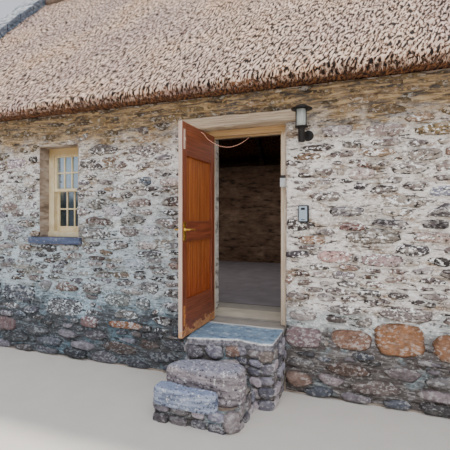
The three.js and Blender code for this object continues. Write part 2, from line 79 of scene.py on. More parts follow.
def faceHeight(y):
    # the thatch's outer face, the same on both slopes
    return eaveFace + (np.minimum(y, depth - y) + eaveOut) * math.tan(roofPitch)


def turnToBack(points):
    # half a turn about the middle of the house
    return np.array([0, depth, 0]) + np.array(points) * np.array([-1, -1, 1])


# Camera

cameraLook = {
    "place": (1.25, -3.77, level + 1.08),
    "turn": 20.8,        # degrees to the left of the way into the house
    "frame": 450,        # pixels across
    "focal": 390.0,      # pixels
    "horizon": 218.0,    # pixels down the frame
}


def makeCamera(look):
    data = bpy.data.cameras.new("camera")
    data.sensor_width = 36.0
    data.lens = look["focal"] / look["frame"] * data.sensor_width
    data.shift_y = look["horizon"] / look["frame"] - 0.5
    camera = bpy.data.objects.new("camera", data)
    camera.location = look["place"]
    camera.rotation_euler = (math.pi / 2, 0, math.radians(look["turn"]))
    bpy.context.collection.objects.link(camera)
    bpy.context.scene.camera = camera


makeCamera(cameraLook)
print("camera is in place")


# Shapes as whole arrays of points, with faces that point outwards

def unit(vectors):
    # each vector divided by its length
    return vectors / np.linalg.norm(vectors, axis=-1, keepdims=True)


def circle(sides):
    # angles at even steps round a whole turn
    return np.arange(sides) * 2 * math.pi / sides


def eased(part):
    # 0 to 1 with a level start and end: t^2 (3 - 2 t)
    return part * part * (3 - 2 * part)


def travelAlong(path):
    # the way covered from the first point of a path to each of its points
    return np.concatenate([[0], np.cumsum(np.linalg.norm(np.diff(path, axis=0), axis=1))])


def gridFaces(rows, columns, closed=False):
    # four-cornered faces over rows of points; a closed grid joins its last column to its first
    wide = columns if closed else columns - 1
    r, c = np.meshgrid(np.arange(rows - 1), np.arange(wide), indexing="ij")
    after = (c + 1) % columns
    corners = [r * columns + c, r * columns + after, (r + 1) * columns + after, (r + 1) * columns + c]
    return np.stack(corners, -1).reshape(-1, 4)


def weld(points, faces):
    # points that share a place become one
    keys = np.round(points * 2e5).astype(np.int64)
    _, first, number = np.unique(keys, axis=0, return_index=True, return_inverse=True)
    return points[first], number.ravel()[faces]


def roundedBox(low, high, radius, parts=(1, 1, 1), edge=1):
    # Six grids cover a box, with extra lines at its edges. Each point is then moved to lie one radius
    # away from an inner box, which rounds the edges and corners.
    low, high = np.array(low, float), np.array(high, float)
    half, centre = (high - low) / 2, (high + low) / 2
    core = half - radius
    bend = radius * np.tan(np.linspace(0, math.pi / 4, edge + 1)[1:])
    lines = [np.concatenate([-(c + bend)[::-1], np.linspace(-c, c, n + 1), c + bend])
             for c, n in zip(core, parts)]
    points, faces, count = [], [], 0
    for axis in range(3):
        first, second = (axis + 1) % 3, (axis + 2) % 3
        a, b = np.meshgrid(lines[first], lines[second], indexing="ij")
        for side in (-1, 1):
            spot = np.empty(a.shape + (3,))
            spot[..., axis], spot[..., first], spot[..., second] = side * half[axis], a, b
            quads = gridFaces(*a.shape) + count
            faces.append(quads[:, ::-1] if side > 0 else quads)
            points.append(spot.reshape(-1, 3))
            count += a.size
    points, faces = weld(np.concatenate(points), np.concatenate(faces))
    inner = np.clip(points, -core, core)
    away = points - inner
    flat = (np.abs(away) > 1e-7).sum(1) == 1
    return inner + radius * unit(away) + centre, faces, ~flat[faces].all(1)


def axesAlong(direction):
    # three square axes, the last of them along the direction
    ahead = unit(np.array(direction, float))
    side = unit(np.cross([0, 0, 1] if abs(ahead[2]) < 0.9 else [0, 1, 0], ahead))
    return np.stack([side, np.cross(ahead, side), ahead])


def poleFaces(rows, sides):
    # faces of rings of points, with one more point closing each end
    k = np.arange(sides)
    after = (k + 1) % sides
    last = 1 + (rows - 1) * sides
    start = np.stack([np.zeros(sides, int), 1 + after, 1 + k], 1)
    end = np.stack([np.full(sides, rows * sides + 1), last + k, last + after], 1)
    return [gridFaces(rows, sides, True) + 1, start, end]


def turned(profile, sides, at, direction=(0, 0, 1)):
    # a profile of radius and height carried round an axis; it starts and ends on the axis
    radius, height = np.array(profile, float).T
    turn = circle(sides)
    r, h = radius[1:-1, None], height[1:-1, None]
    ring = np.stack([r * np.cos(turn), r * np.sin(turn), h + 0 * turn], -1).reshape(-1, 3)
    points = np.concatenate([[[0, 0, height[0]]], ring, [[0, 0, height[-1]]]])
    return points @ axesAlong(direction) + at, poleFaces(len(radius) - 2, sides)


def tube(path, radius, sides, square=(0.77, -0.64, 0)):
    # A circle carried along a path: path + radius * (cos * side + sin * up), where side is square to the
    # path and to one fixed direction. Its ends are closed, and the radius may vary along and round it.
    path = np.array(path, float)
    ahead = unit(np.gradient(path, axis=0))
    side = unit(np.cross(square, ahead))
    up = np.cross(ahead, side)
    turn = circle(sides)
    wide = np.broadcast_to(radius, (len(path), sides))[..., None]
    out = np.cos(turn)[:, None] * side[:, None] + np.sin(turn)[:, None] * up[:, None]
    ring = (path[:, None] + wide * out).reshape(-1, 3)
    return np.concatenate([path[:1], ring, path[-1:]]), poleFaces(len(path), sides)


def easedPath(points, steps):
    # a cubic between each two points, which leans on the points before and after them
    points = np.array(points, float)
    ends = np.concatenate([[2 * points[0] - points[1]], points, [2 * points[-1] - points[-2]]])
    place = np.linspace(0, len(points) - 1, steps + 1)
    i = np.minimum(place.astype(int), len(points) - 2)
    t = (place - i)[:, None]
    a, b, c, d = ends[i], ends[i + 1], ends[i + 2], ends[i + 3]
    return 0.5 * (2 * b + (c - a) * t + (2 * a - 5 * b + 4 * c - d) * t ** 2
                  + (3 * b - a - 3 * c + d) * t ** 3)


def softNoise(points, size, seed):
    # random numbers on a lattice, size metres apart, blended smoothly between its corners: -1 to 1
    number = 32                              # places on each side of the lattice, which then repeats
    table = np.random.default_rng(seed).uniform(-1, 1, (number,) * 3)
    place = np.asarray(points, float) / size
    cell = np.floor(place).astype(int)
    part = eased(place - cell)
    total = np.zeros(place.shape[:-1])
    for corner in np.ndindex(2, 2, 2):
        spot = (cell + corner) % number
        total += np.prod(np.where(corner, part, 1 - part), axis=-1) * table[tuple(np.moveaxis(spot, -1, 0))]
    return total


def roughened(points, size, depth, seed):
    # every point moves by three soft random fields, so that shared points stay together
    move = [softNoise(points, size, seed + i) for i in range(3)]
    return points + depth * np.stack(move, -1)


def meshObject(name, points, faces, material, body="house", smooth=True, values=None, replaces=()):
    # faces is a list of arrays, each with its own number of corners; values are numbers for each point
    faces = [np.asarray(f, np.int32) for f in (faces if isinstance(faces, list) else [faces])]
    mesh = bpy.data.meshes.new(name)
    mesh.vertices.add(len(points))
    mesh.vertices.foreach_set("co", np.asarray(points, np.float32).ravel())
    loops = np.concatenate([f.ravel() for f in faces])
    wide = np.concatenate([np.full(len(f), f.shape[1]) for f in faces])
    mesh.loops.add(len(loops))
    mesh.loops.foreach_set("vertex_index", loops)
    mesh.polygons.add(len(wide))
    mesh.polygons.foreach_set("loop_start", (np.cumsum(wide) - wide).astype(np.int32))
    mesh.polygons.foreach_set("use_smooth", np.broadcast_to(smooth, len(wide)).astype(bool))
    mesh.update(calc_edges=True)
    mesh.validate()
    for key, numbers in (values or {}).items():
        numbers = np.asarray(numbers, np.float32)
        mesh.attributes.new(key, "FLOAT_VECTOR", "POINT").data.foreach_set("vector", numbers.ravel())
    made = bpy.data.objects.new(name, mesh)
    bpy.context.collection.objects.link(made)
    mesh.materials.append(material)
    if body:
        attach(made, body)
    if replaces:
        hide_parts(*replaces)
    return made


class Pile:
    # shapes gathered into one mesh; grain runs along each shape's length, for its material to follow
    def __init__(self, seed=1):
        self.points, self.faces, self.smooth, self.grain = [], [], [], []
        self.count, self.random = 0, np.random.default_rng(seed)

    def add(self, points, faces, smooth=True, grain=None):
        for group in faces if isinstance(faces, list) else [faces]:
            self.faces.append(group + self.count)
            self.smooth.append(np.broadcast_to(smooth, len(group)))
        if grain is None:
            order = np.argsort(-np.ptp(points, axis=0))
            grain = (points - points.min(0))[:, order]
        self.grain.append(grain + self.random.uniform(0, 40, 3))
        self.points.append(points)
        self.count += len(points)

    def box(self, low, high, radius=0.002, parts=(1, 1, 1), edge=1, wear=0.0, size=0.1):
        points, faces, smooth = roundedBox(low, high, radius, parts, edge)
        if wear:
            points = roughened(points, size, wear, int(self.random.integers(1000)))
        self.add(points, faces, True if wear > 0.002 else smooth)

    def turn(self, profile, sides, at, direction=(0, 0, 1)):
        self.add(*turned(profile, sides, at, direction))

    def make(self, name, material, slot, body="house", replaces=(), move=None):
        points = np.concatenate(self.points)
        widths = sorted({f.shape[1] for f in self.faces})
        faces = [np.concatenate([f for f in self.faces if f.shape[1] == w]) for w in widths]
        smooth = [s for w in widths for s, f in zip(self.smooth, self.faces) if f.shape[1] == w]
        return meshObject(name, move(points) if move else points, faces, material, body,
                          np.concatenate(smooth), {"grain": np.concatenate(self.grain)}, replaces)


# Materials

def linear(code):
    # an sRGB hex colour as linear red, green, blue and alpha
    part = np.array([int(code[i:i + 2], 16) / 255 for i in (1, 3, 5)])
    part = np.where(part <= 0.04045, part / 12.92, ((part + 0.055) / 1.055) ** 2.4)
    return (*part.tolist(), 1.0)


# The nodes that the finishes are made of: their kind, the inputs that values go to in order, the output
# that is used, and their settings
nodeKinds = {
    "place": ("TexCoord", (), "Object", {}),
    "follow": ("Attribute", (), "Vector", {"attribute_name": "grain"}),
    "facing": ("NewGeometry", (), "Normal", {}),
    "axis": ("SeparateXYZ", (0,), "Z", {}),
    "scaled": ("Mapping", ("Vector", "Scale"), "Vector", {}),
    "noise": ("TexNoise", ("Vector", "Scale", "Detail", "Roughness", "Distortion"), "Fac", {}),
    "wave": ("TexWave", ("Vector", "Scale"), "Fac", {"bands_direction": "DIAGONAL"}),
    "ramp": ("ValToRGB", ("Fac",), "Color", {}),
    "mix": ("Mix", (0, 6, 7), 2, {"data_type": "RGBA"}),
    "tint": ("Mix", (0, 6, 7), 2, {"data_type": "RGBA", "blend_type": "MULTIPLY"}),
    "times": ("Math", (0, 1), 0, {"operation": "MULTIPLY"}),
    "minus": ("Math", (0, 1), 0, {"operation": "SUBTRACT"}),
    "timesPlus": ("Math", (0, 1, 2), 0, {"operation": "MULTIPLY_ADD"}),
    "ease": ("MapRange", ("Value", "From Min", "From Max"), 0, {"interpolation_type": "SMOOTHSTEP"}),
    "bump": ("Bump", ("Height", "Strength", "Distance"), "Normal", {}),
}


class Finish:
    # a material with its tree and shader, and the patterns that the finishes here repeat
    def __init__(self, name, roughness=0.8, metallic=0.0, ior=1.5):
        self.material = bpy.data.materials.new(name)
        self.material.use_nodes = True
        self.tree = self.material.node_tree
        self.shader = self.tree.nodes["Principled BSDF"]
        self.shader.inputs["Roughness"].default_value = roughness
        self.shader.inputs["Metallic"].default_value = metallic
        if not metallic:
            self.shader.inputs["IOR"].default_value = ior
        self.place = self.add("place")

    def add(self, kind, *values, output=None, **settings):
        # one node with its settings and links; values past its inputs are the stops of a ramp
        name, inputs, usual, fixed = nodeKinds[kind]
        made = self.tree.nodes.new("ShaderNode" + name)
        for key, value in (fixed | settings).items():
            setattr(made, key, value)
        for key, value in zip(inputs, values):
            if isinstance(value, bpy.types.NodeSocket):
                self.tree.links.new(value, made.inputs[key])
            else:
                made.inputs[key].default_value = linear(value) if isinstance(value, str) else value
        stops = values[len(inputs):]
        for _ in stops[2:]:
            made.color_ramp.elements.new(1.0)
        for number, (place, colour) in enumerate(stops):
            element = made.color_ramp.elements[number]
            element.position = place
            element.color = linear(colour) if isinstance(colour, str) else (colour, colour, colour, 1)
        return made.outputs[usual if output is None else output]

    def lumps(self, spacing, detail=4.0, roughness=0.6, along=None, warp=0.0):
        # noise whose lumps are spacing metres wide; spacing may be three lengths, one for each axis
        wide = spacing if isinstance(spacing, tuple) else (spacing,) * 3
        scaled = self.add("scaled", along or self.place, tuple(1 / w for w in wide))
        return self.add("noise", scaled, 1.0, detail, roughness, warp)

    def spots(self, body, noise, start, end, colour):
        # a colour over the body, by an amount that goes from one place of the noise to another
        return self.add("mix", self.add("ramp", noise, start, end), body, colour)

    def between(self, axis, start, end, noise=None, wander=0.0):
        # 0 to 1 between two places on an axis, with an edge that wanders by the noise
        part = self.add("axis", self.place, output=axis)
        if noise is not None:
            part = self.add("timesPlus", self.add("minus", noise, 0.5), 2 * wander, part)
        return self.add("ease", part, start, end)

    def band(self, axis, rising, falling, noise=None, wander=0.0):
        # 1 from where it has risen to where it starts to fall
        return self.add("times", *(self.between(axis, *ends, noise, wander) for ends in (rising, falling)))

    def upward(self, facing="Normal"):
        # 1 where the surface faces straight up, -1 where it faces straight down
        return self.add("axis", self.add("facing", output=facing))

    def finish(self, colour, height=None, rise=0.005, strength=1.0, roughness=None):
        links = {"Base Color": colour, "Roughness": roughness}
        if height is not None:
            links["Normal"] = self.add("bump", height, strength, rise)
        for name, socket in links.items():
            if socket is not None:
                self.tree.links.new(socket, self.shader.inputs[name])
        return self.material


def wallZones(f, noise):
    # amounts of painted shade: ochre-brown under the eaves, and blue low down on the front's left
    eave = f.add("times", f.between("Z", wallHead - 0.62, wallHead - 0.22, noise, 0.45),
                 f.between("Z", wallHead + 0.5, wallHead + 0.2))
    ends = f.band("X", (-halfLength + 0.01, -halfLength + 0.04), (halfLength - 0.01, halfLength - 0.04))
    shade = f.add("times", f.between("Z", 2.8, 1.1, noise, 0.6), f.between("X", 0.6, -1.4, noise, 1.0))
    return f.add("times", eave, ends), f.add("times", shade, f.between("Y", 0.06, 0.03))


def rubbleStone():
    # Sandstone and slate rubble, split by hand: each stone has a colour of its own, with mortar smeared
    # over parts of it, dark flecks that are painted shade in the pits of its broken face, and pale crusts of
    # lichen a finger's width across. Under the eaves, painted ochre-brown shade colours the smeared mortar
    # and thins the crusts and pits; low on the front's left, a blue tint is painted shade. The foot, which
    # starts lower on the left, is barer.
    f = Finish("rubbleStone", 0.9)
    blotch = f.lumps(0.06, 6, 0.65)
    eaveShade, blueShade = wallZones(f, blotch)
    foot = f.add("mix", f.between("X", -0.9, 0.0), f.between("Z", 0.55, 0.40, blotch, 0.2),
                 f.between("Z", 0.84, 0.70, blotch, 0.2))
    bare = f.add("ramp", foot, (0.0, 1.0), (1.0, 0.25))
    # each stone's colour, with painted shade at its joint
    body = f.add("tint", 1.0, f.add("follow", attribute_name="tint"),
                 f.add("ramp", blotch, (0.3, 0.6), (0.5, 1.0), (0.7, 1.35)))
    smear = f.add("ramp", f.lumps((0.14, 0.14, 0.05), 6, 0.65), (0.54, 0.0), (0.6, 0.55))
    # mortar smeared over the stones: browner under the eaves, as painted shade
    body = f.add("mix", f.add("times", smear, bare), body, f.add("mix", eaveShade, "#bdb3a8", "#86704f"))
    crust = f.lumps((0.036, 0.036, 0.024), 3, 0.6)
    amount = f.add("times", f.add("ramp", crust, (0.53, 0.0), (0.56, 1.0)),
                   f.add("ramp", f.lumps(0.14, 3), (0.4, 0.2), (0.54, 1.0)))
    # fewer pale crusts under the eaves, inside the painted shade
    amount = f.add("times", f.add("times", amount, bare), f.add("ramp", eaveShade, (0.0, 1.0), (0.8, 0.25)))
    body = f.add("mix", amount, body, "#fffdf8")
    # dark flecks: painted shade in the pits of the broken face, fewer in the painted eave shade
    pits = f.add("ramp", f.lumps((0.045, 0.045, 0.022), 3, 0.6), (0.38, 0.95), (0.43, 0.0))
    amount = f.add("times", pits, f.add("ramp", foot, (0.0, 1.0), (1.0, 0.3)))
    amount = f.add("times", amount, f.add("ramp", eaveShade, (0.0, 1.0), (0.8, 0.5)))
    body = f.add("mix", amount, body, "#241e1c")
    # blue tint low on the front's left: painted shade
    return f.finish(f.add("tint", blueShade, body, "#cfdbe6"), crust, 0.012, 1.0)


def limeMortar():
    # Lime mortar with coarse sand, smeared on by hand: pale, with streaks of painted ochre-brown shade under
    # the eaves, cooler and darker low down, blue with painted shade low on the front's left, and dark slits
    # along the beds that are painted shadow
    f = Finish("limeMortar", 0.95)
    stain = f.lumps(0.35, 6, 0.6)
    eaveShade, blueShade = wallZones(f, stain)
    low = f.between("Z", 0.72, 0.50, stain, 0.3)
    bare = f.add("ramp", low, (0.0, 1.0), (1.0, 0.25))
    body = f.add("ramp", stain, (0.34, "#b7ada2"), (0.5, "#e2dad2"), (0.66, "#f8f3ed"))
    body = f.add("tint", 1.0, body,
                 f.add("ramp", f.lumps((0.3, 0.3, 0.12), 4, 0.6), (0.38, "#b5a28f"), (0.52, "#ffffff")))
    body = f.add("mix", f.add("times", f.between("Z", 0.86, 0.72, stain, 0.25), 0.5), body, "#98b0b7")
    body = f.add("mix", low, body, f.spots("#5b5451", f.lumps(0.25, 3), (0.54, 0.0), (0.66, 0.5), "#8da6ac"))
    grit = f.lumps((0.035, 0.035, 0.02), 3, 0.6)
    body = f.spots(body, grit, (0.36, 0.85), (0.41, 0.0), "#4a3f37")
    stroke = f.lumps((0.16, 0.16, 0.022), 4, 0.6, warp=0.3)
    # dark slits along the beds: painted shadow under the stones
    body = f.spots(body, stroke, (0.37, 0.95), (0.42, 0.0), "#2e2520")
    ridges = f.add("times", f.add("ramp", stroke, (0.54, 0.0), (0.64, 0.6)), bare)
    body = f.add("mix", ridges, body, "#efeae4")
    rope = f.lumps((0.26, 0.26, 0.032), 5, 0.65, warp=0.6)
    # dark and ochre streaks under the eaves: painted shade
    streak = f.add("ramp", rope, (0.40, "#20160d"), (0.46, "#5a462b"), (0.54, "#876b42"), (0.64, "#bb9f74"))
    body = f.add("mix", f.add("times", eaveShade, 0.9), body, streak)
    speck = f.add("times", f.add("ramp", grit, (0.57, 0.0), (0.61, 0.8)), bare)
    # pale specks, browner under the eaves as painted shade
    body = f.add("mix", speck, body, f.add("mix", eaveShade, "#fffdf8", "#b59768"))
    # blue tint low on the front's left: painted shade
    return f.finish(f.add("tint", blueShade, body, "#c3d8e8"), stroke, 0.014, 1.0)


def limewashedWall():
    # The wall's own mass: bare mortar outside, old limewash inside, white where the doorway's side
    # catches the daylight and brown with smoke in the room
    f = Finish("limewash", 0.9)
    lumps = f.lumps((0.22, 0.22, 0.07), 4, 0.6)
    outside = f.add("ramp", lumps, (0.35, "#766658"), (0.5, "#a09081"), (0.65, "#b9aea2"))
    inside = f.add("ramp", lumps, (0.34, "#3d3129"), (0.44, "#6f5b4c"), (0.7, "#937d6b"))
    inside = f.add("tint", 1.0, inside,
                   f.add("ramp", f.lumps(0.4, 6, 0.6), (0.3, "#b9aaa2"), (0.7, "#ffffff")))
    reveal = f.add("ramp", lumps, (0.36, "#8d8780"), (0.44, "#dedbd5"), (0.7, "#f4f1eb"))
    body = f.add("mix", f.between("Y", 0.20, 0.21), outside, reveal)
    body = f.add("mix", f.between("Y", 0.585, 0.6), body, inside)
    body = f.add("mix", f.between("Y", depth - 0.5, depth - 0.3), body, outside)
    return f.finish(body, lumps, 0.03, 1.0)


def weatheredStraw():
    # Straw laid in coats and combed down: bleached tufts with dark gaps between, the gaps' darkness partly
    # painted shadow and the palest tips partly painted highlight. A tuft is about 23 mm wide and shows for
    # 64 mm. Under the eave and in the room, out of the rain, it stays reddish brown.
    f = Finish("weatheredStraw", 1.0)
    along = f.add("follow")
    ends = f.lumps((0.064, 0.023, 1.0), 2, 0.6, along, 0.2)
    clumps = f.lumps((0.35, 0.12, 1.0), 3, 0.6, along)
    # tufts from dark gaps to pale tips: the straw's own tones with painted shadow and painted highlight
    body = f.add("ramp", ends, (0.425, "#1c130e"), (0.47, "#765d4c"), (0.51, "#c39d86"), (0.555, "#fbe3d0"))
    body = f.add("tint", 1.0, body, f.add("ramp", clumps, (0.3, 0.78), (0.7, 1.15)))
    body = f.add("tint", 1.0, body,
                 f.add("ramp", f.lumps(1.1, 4), (0.38, "#ebe4ea"), (0.5, "#fbf7f4"), (0.64, "#fff2e2")))
    sheltered = f.add("ramp", ends, (0.38, "#26160d"), (0.5, "#603b24"), (0.6, "#94633b"))
    under = f.add("ramp", f.add("times", f.upward("True Normal"), -1.0), (0.35, 0.0), (0.55, 1.0))
    for part in (f.band("Y", (0.15, 0.3), (depth - 0.15, depth - 0.3)),
                 f.between("Z", wallHead + 0.05, wallHead + 0.03, ends, 0.01)):
        body = f.add("mix", f.add("times", under, part), body, sheltered)
    return f.finish(body, ends, 0.04, 1.0)


def sawnWood(name, dark, middle, light, width=0.004, length=0.25, roughness=0.7, cracks=0.0):
    # Sawn wood: grain lines a few millimetres wide, drawn out along each piece
    f = Finish(name, roughness)
    along = f.add("follow")
    grain = f.lumps((length, width, width), 4, 0.6, along, 0.4)
    broad = f.lumps((length * 3, width * 8, width * 8), 2, 0.5, along)
    body = f.add("ramp", grain, (0.3, dark), (0.5, middle), (0.7, light))
    body = f.add("tint", 1.0, body, f.add("ramp", broad, (0.3, 0.78), (0.7, 1.15)))
    if cracks:
        split = f.lumps((length * 2, width * 3, width * 3), 3, 0.5, along, 0.5)
        body = f.spots(body, split, (0.36, cracks), (0.41, 0.0), dark)
    return f, body, grain


print("shapes and finishes are ready")


# Cord that stops the door, from the leaf's top rail to a staple under the head of the frame

cordLook = {
    "length": 0.63,
    "diameter": 0.007,
    "strand": 0.018,     # one turn of the twist
    "route": [           # height is above the door slab
        (-0.334, -0.265, 1.920), (-0.325, -0.265, 1.920), (-0.310, -0.250, 1.906), (-0.290, -0.211, 1.868),
        (-0.268, -0.183, 1.848), (-0.245, -0.156, 1.831), (-0.223, -0.129, 1.818), (-0.201, -0.102, 1.809),
        (-0.178, -0.075, 1.804), (-0.156, -0.048, 1.803), (-0.134, -0.020, 1.806), (-0.112, 0.007, 1.813),
        (-0.089, 0.034, 1.824), (-0.067, 0.061, 1.838), (-0.045, 0.088, 1.856), (-0.022, 0.116, 1.877),
        (0.002, 0.144, 1.902), (0.016, 0.161, 1.920), (0.020, 0.166, 1.930), (0.020, 0.166, 1.9396)],
}


def cordFinish(look):
    # Twisted cotton cord, faded pink: soft, darker in the grooves between its strands and paler on their
    # crowns, as painted shade
    f = Finish("cottonCord", 0.95)
    wave = f.add("wave", f.add("follow"), 0.5 / look["strand"])
    # dark grooves and pale crowns of the strands: painted shade
    body = f.add("ramp", wave, (0.1, "#9a5a48"), (0.5, "#dc9a80"), (0.9, "#f0b49a"))
    return f.finish(f.add("mix", f.add("times", f.lumps(0.01), 0.4), body, "#e8c4b0"), wave, 0.001)


def makeCord(look):
    # three lobes twisted along the path: the radius is smaller by up to an eighth between the strands
    path = easedPath(np.array(look["route"]) + (0, 0, level), 150)
    travel = travelAlong(path)
    sides = 12
    turn = circle(sides)
    lobes = 0.94 + 0.06 * np.cos(3 * (turn[None] - 2 * math.pi * travel[:, None] / (3 * look["strand"])))
    points, faces = tube(path, look["diameter"] / 2 * lobes, sides)
    around = turn / (2 * math.pi) * look["strand"]
    grain = np.stack([*np.broadcast_arrays(travel[:, None], around, 0.0)], -1).reshape(-1, 3)
    grain = np.concatenate([grain[:1], grain, grain[-1:]])
    cord = meshObject("stay_cord", points, faces, cordFinish(look), body=None,
                      values={"grain": grain})
    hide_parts("door_cord")
    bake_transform(cord)


makeCord(cordLook)
print("cord hangs")


# Walls: each face is a plane with its own directions, on which stones and mortar are laid

wallLook = {
    "swell": (0.016, 0.45),     # depth and width of slow swells, which carry stones and mortar alike
    "step": (0.01, 0.14),       # start of the foot's slope over plinthTop, and its height
    "overlap": 0.008,           # how far stones reach over the edge of an opening
}


def isWithin(u, v, boxes, margin=0.0):
    # whether a place lies in any of the boxes, each of them grown by the margin
    low, high = boxes[:, :2] - margin, boxes[:, 2:] + margin
    return ((u[..., None] > low[:, 0]) & (u[..., None] < high[:, 0])
            & (v[..., None] > low[:, 1]) & (v[..., None] < high[:, 1])).any(-1)


def onPlane(u, v):
    # (u, v, 0), for noise that is the same on every face
    return np.stack([u, v, 0 * u], -1)


class Face:
    # a wall's outer plane: u runs along it, v up it, and heights stand out from it
    def __init__(self, origin, along, outline, holes=(), foot=0.0):
        self.origin, self.up = np.array(origin, float), np.array([0, 0, 1.0])
        self.along = unit(np.array(along, float))
        self.out = np.cross(self.along, self.up)
        self.outline = np.array(outline, float)      # corners, anticlockwise as seen from outside
        self.holes = np.array(holes, float).reshape(-1, 4)     # low u, low v, high u, high v
        self.foot = foot                             # how far the foot of the wall stands out
        self.rocks = np.zeros((0, 4))                # room kept for large stones, as for the holes

    def place(self, u, v, height):
        # origin + u * along + v * up + (height + swell + what is left of the foot) * out
        start, tall = wallLook["step"]
        ease = eased(np.clip((v - plinthTop - start) / tall, 0, 1))
        deep, wide = wallLook["swell"]
        height = height + deep / 2 * (1 + softNoise(onPlane(u, v), wide, 3)) + self.foot * (1 - ease)
        return (self.origin + u[..., None] * self.along + v[..., None] * self.up
                + height[..., None] * self.out)

    def edges(self, u, v):
        # the directions of the outline's edges, and the distance to each, negative outside it
        start = self.outline
        step = unit(np.roll(start, -1, axis=0) - start)
        return step, step[:, 0] * (v[..., None] - start[:, 1]) - step[:, 1] * (u[..., None] - start[:, 0])

    def inHole(self, u, v, margin=0.0):
        return isWithin(u, v, self.holes, margin)


stoneLook = {
    "course": (0.035, 0.14),    # heights of the courses
    "stretch": (1.8, 5.2),      # a stone's length over its height
    "narrow": 0.7,              # a face narrower than this has whole stones from corner to corner
    "shake": (0.35, 0.12),      # how far stones leave their course, on a wide and on a narrow face
    "lens": 2.8,                # how flat the stones are as a whole
    "joint": 0.008,
    "cover": (0.76, 1.0),       # how much of a stone the mortar leaves bare
    "ragged": 0.18,             # how much of its reach is lost at random round its edge
    "proud": (0.016, 0.042),
    "calm": 0.65,               # how much less it stands out under the eave
    "tilt": 0.08,
    "broken": (0.005, 0.004),   # roughness of its face, in lumps 50 mm and 20 mm wide
    "near": [(0.5, 0.84, 1.0, 1.0), (1.0, 0.85, 0.2, 0.0)],    # sizes of its rings, and how each rises
    "far": [(0.66, 1.0, 1.0), (0.95, 0.2, 0.0)],               # the same on walls that few look at
    "sunk": 0.022,
    # painted shade along each stone's joint, darker on its lower side
    "jointShade": (0.3, 0.55),        # how much the joint darkens the edge, and how much more it does below
    # stone colours under the eave, darkened to ochre-brown as painted shade
    "eaveShade": ["#8a7350", "#7c6645", "#967d58", "#6b563c", "#8d7355"],
    "body": ["#9d9290", "#b3a59b", "#917f78", "#ab9186", "#7a6c67", "#b9ab9d", "#957668", "#978b8f",
             "#c1b3a5", "#a0836a", "#5e5450", "#a99e99", "#bfa9a0", "#85756f", "#8a7d78"],
    "low": ["#847b80", "#6c696e", "#8f878c", "#5c5f68", "#968789", "#75706f", "#80706a", "#8f7467"],
}


def stoneSeeds(face, look, random):
    # Rows of random heights are cut into random lengths, and their middles are shaken off the rows. On a
    # narrow face the rows are fitted to its height, and each is cut into equal lengths.
    low, high = face.outline.min(0), face.outline.max(0)
    wide, tall = high - low
    narrow = wide < look["narrow"]
    heights = random.uniform(*look["course"], 400)
    heights = heights[low[1] + np.cumsum(heights) < high[1] + 0.08]
    if narrow:
        heights = heights * tall / heights.sum()
        number = np.maximum(np.round(wide / (heights * np.mean(look["stretch"]))), 1)
        each = np.arange(number.max())
        lengths = (wide / number)[:, None] * np.ones(len(each))
        u = low[0] + (each + 0.5 + random.uniform(-0.12, 0.12, lengths.shape)) * lengths
        keep = each < number[:, None]
    else:
        count = int(wide / (heights.min() * look["stretch"][0])) + 2
        lengths = heights[:, None] * random.uniform(*look["stretch"], (len(heights), count))
        ends = low[0] - random.uniform(0, 0.3, (len(heights), 1)) + np.cumsum(lengths, axis=1)
        u = ends - lengths / 2 + random.uniform(-0.1, 0.1, ends.shape) * lengths
        keep = (u > low[0] - 0.15) & (u < high[0] + 0.15)
    shake = look["shake"][int(narrow)]
    middles = low[1] + np.cumsum(heights) - heights / 2
    v = middles[:, None] + random.uniform(-shake, shake, u.shape) * heights[:, None]
    size = np.sqrt(lengths * heights[:, None]) * random.uniform(0.75, 1.25, u.shape)
    return u[keep], v[keep], size[keep]


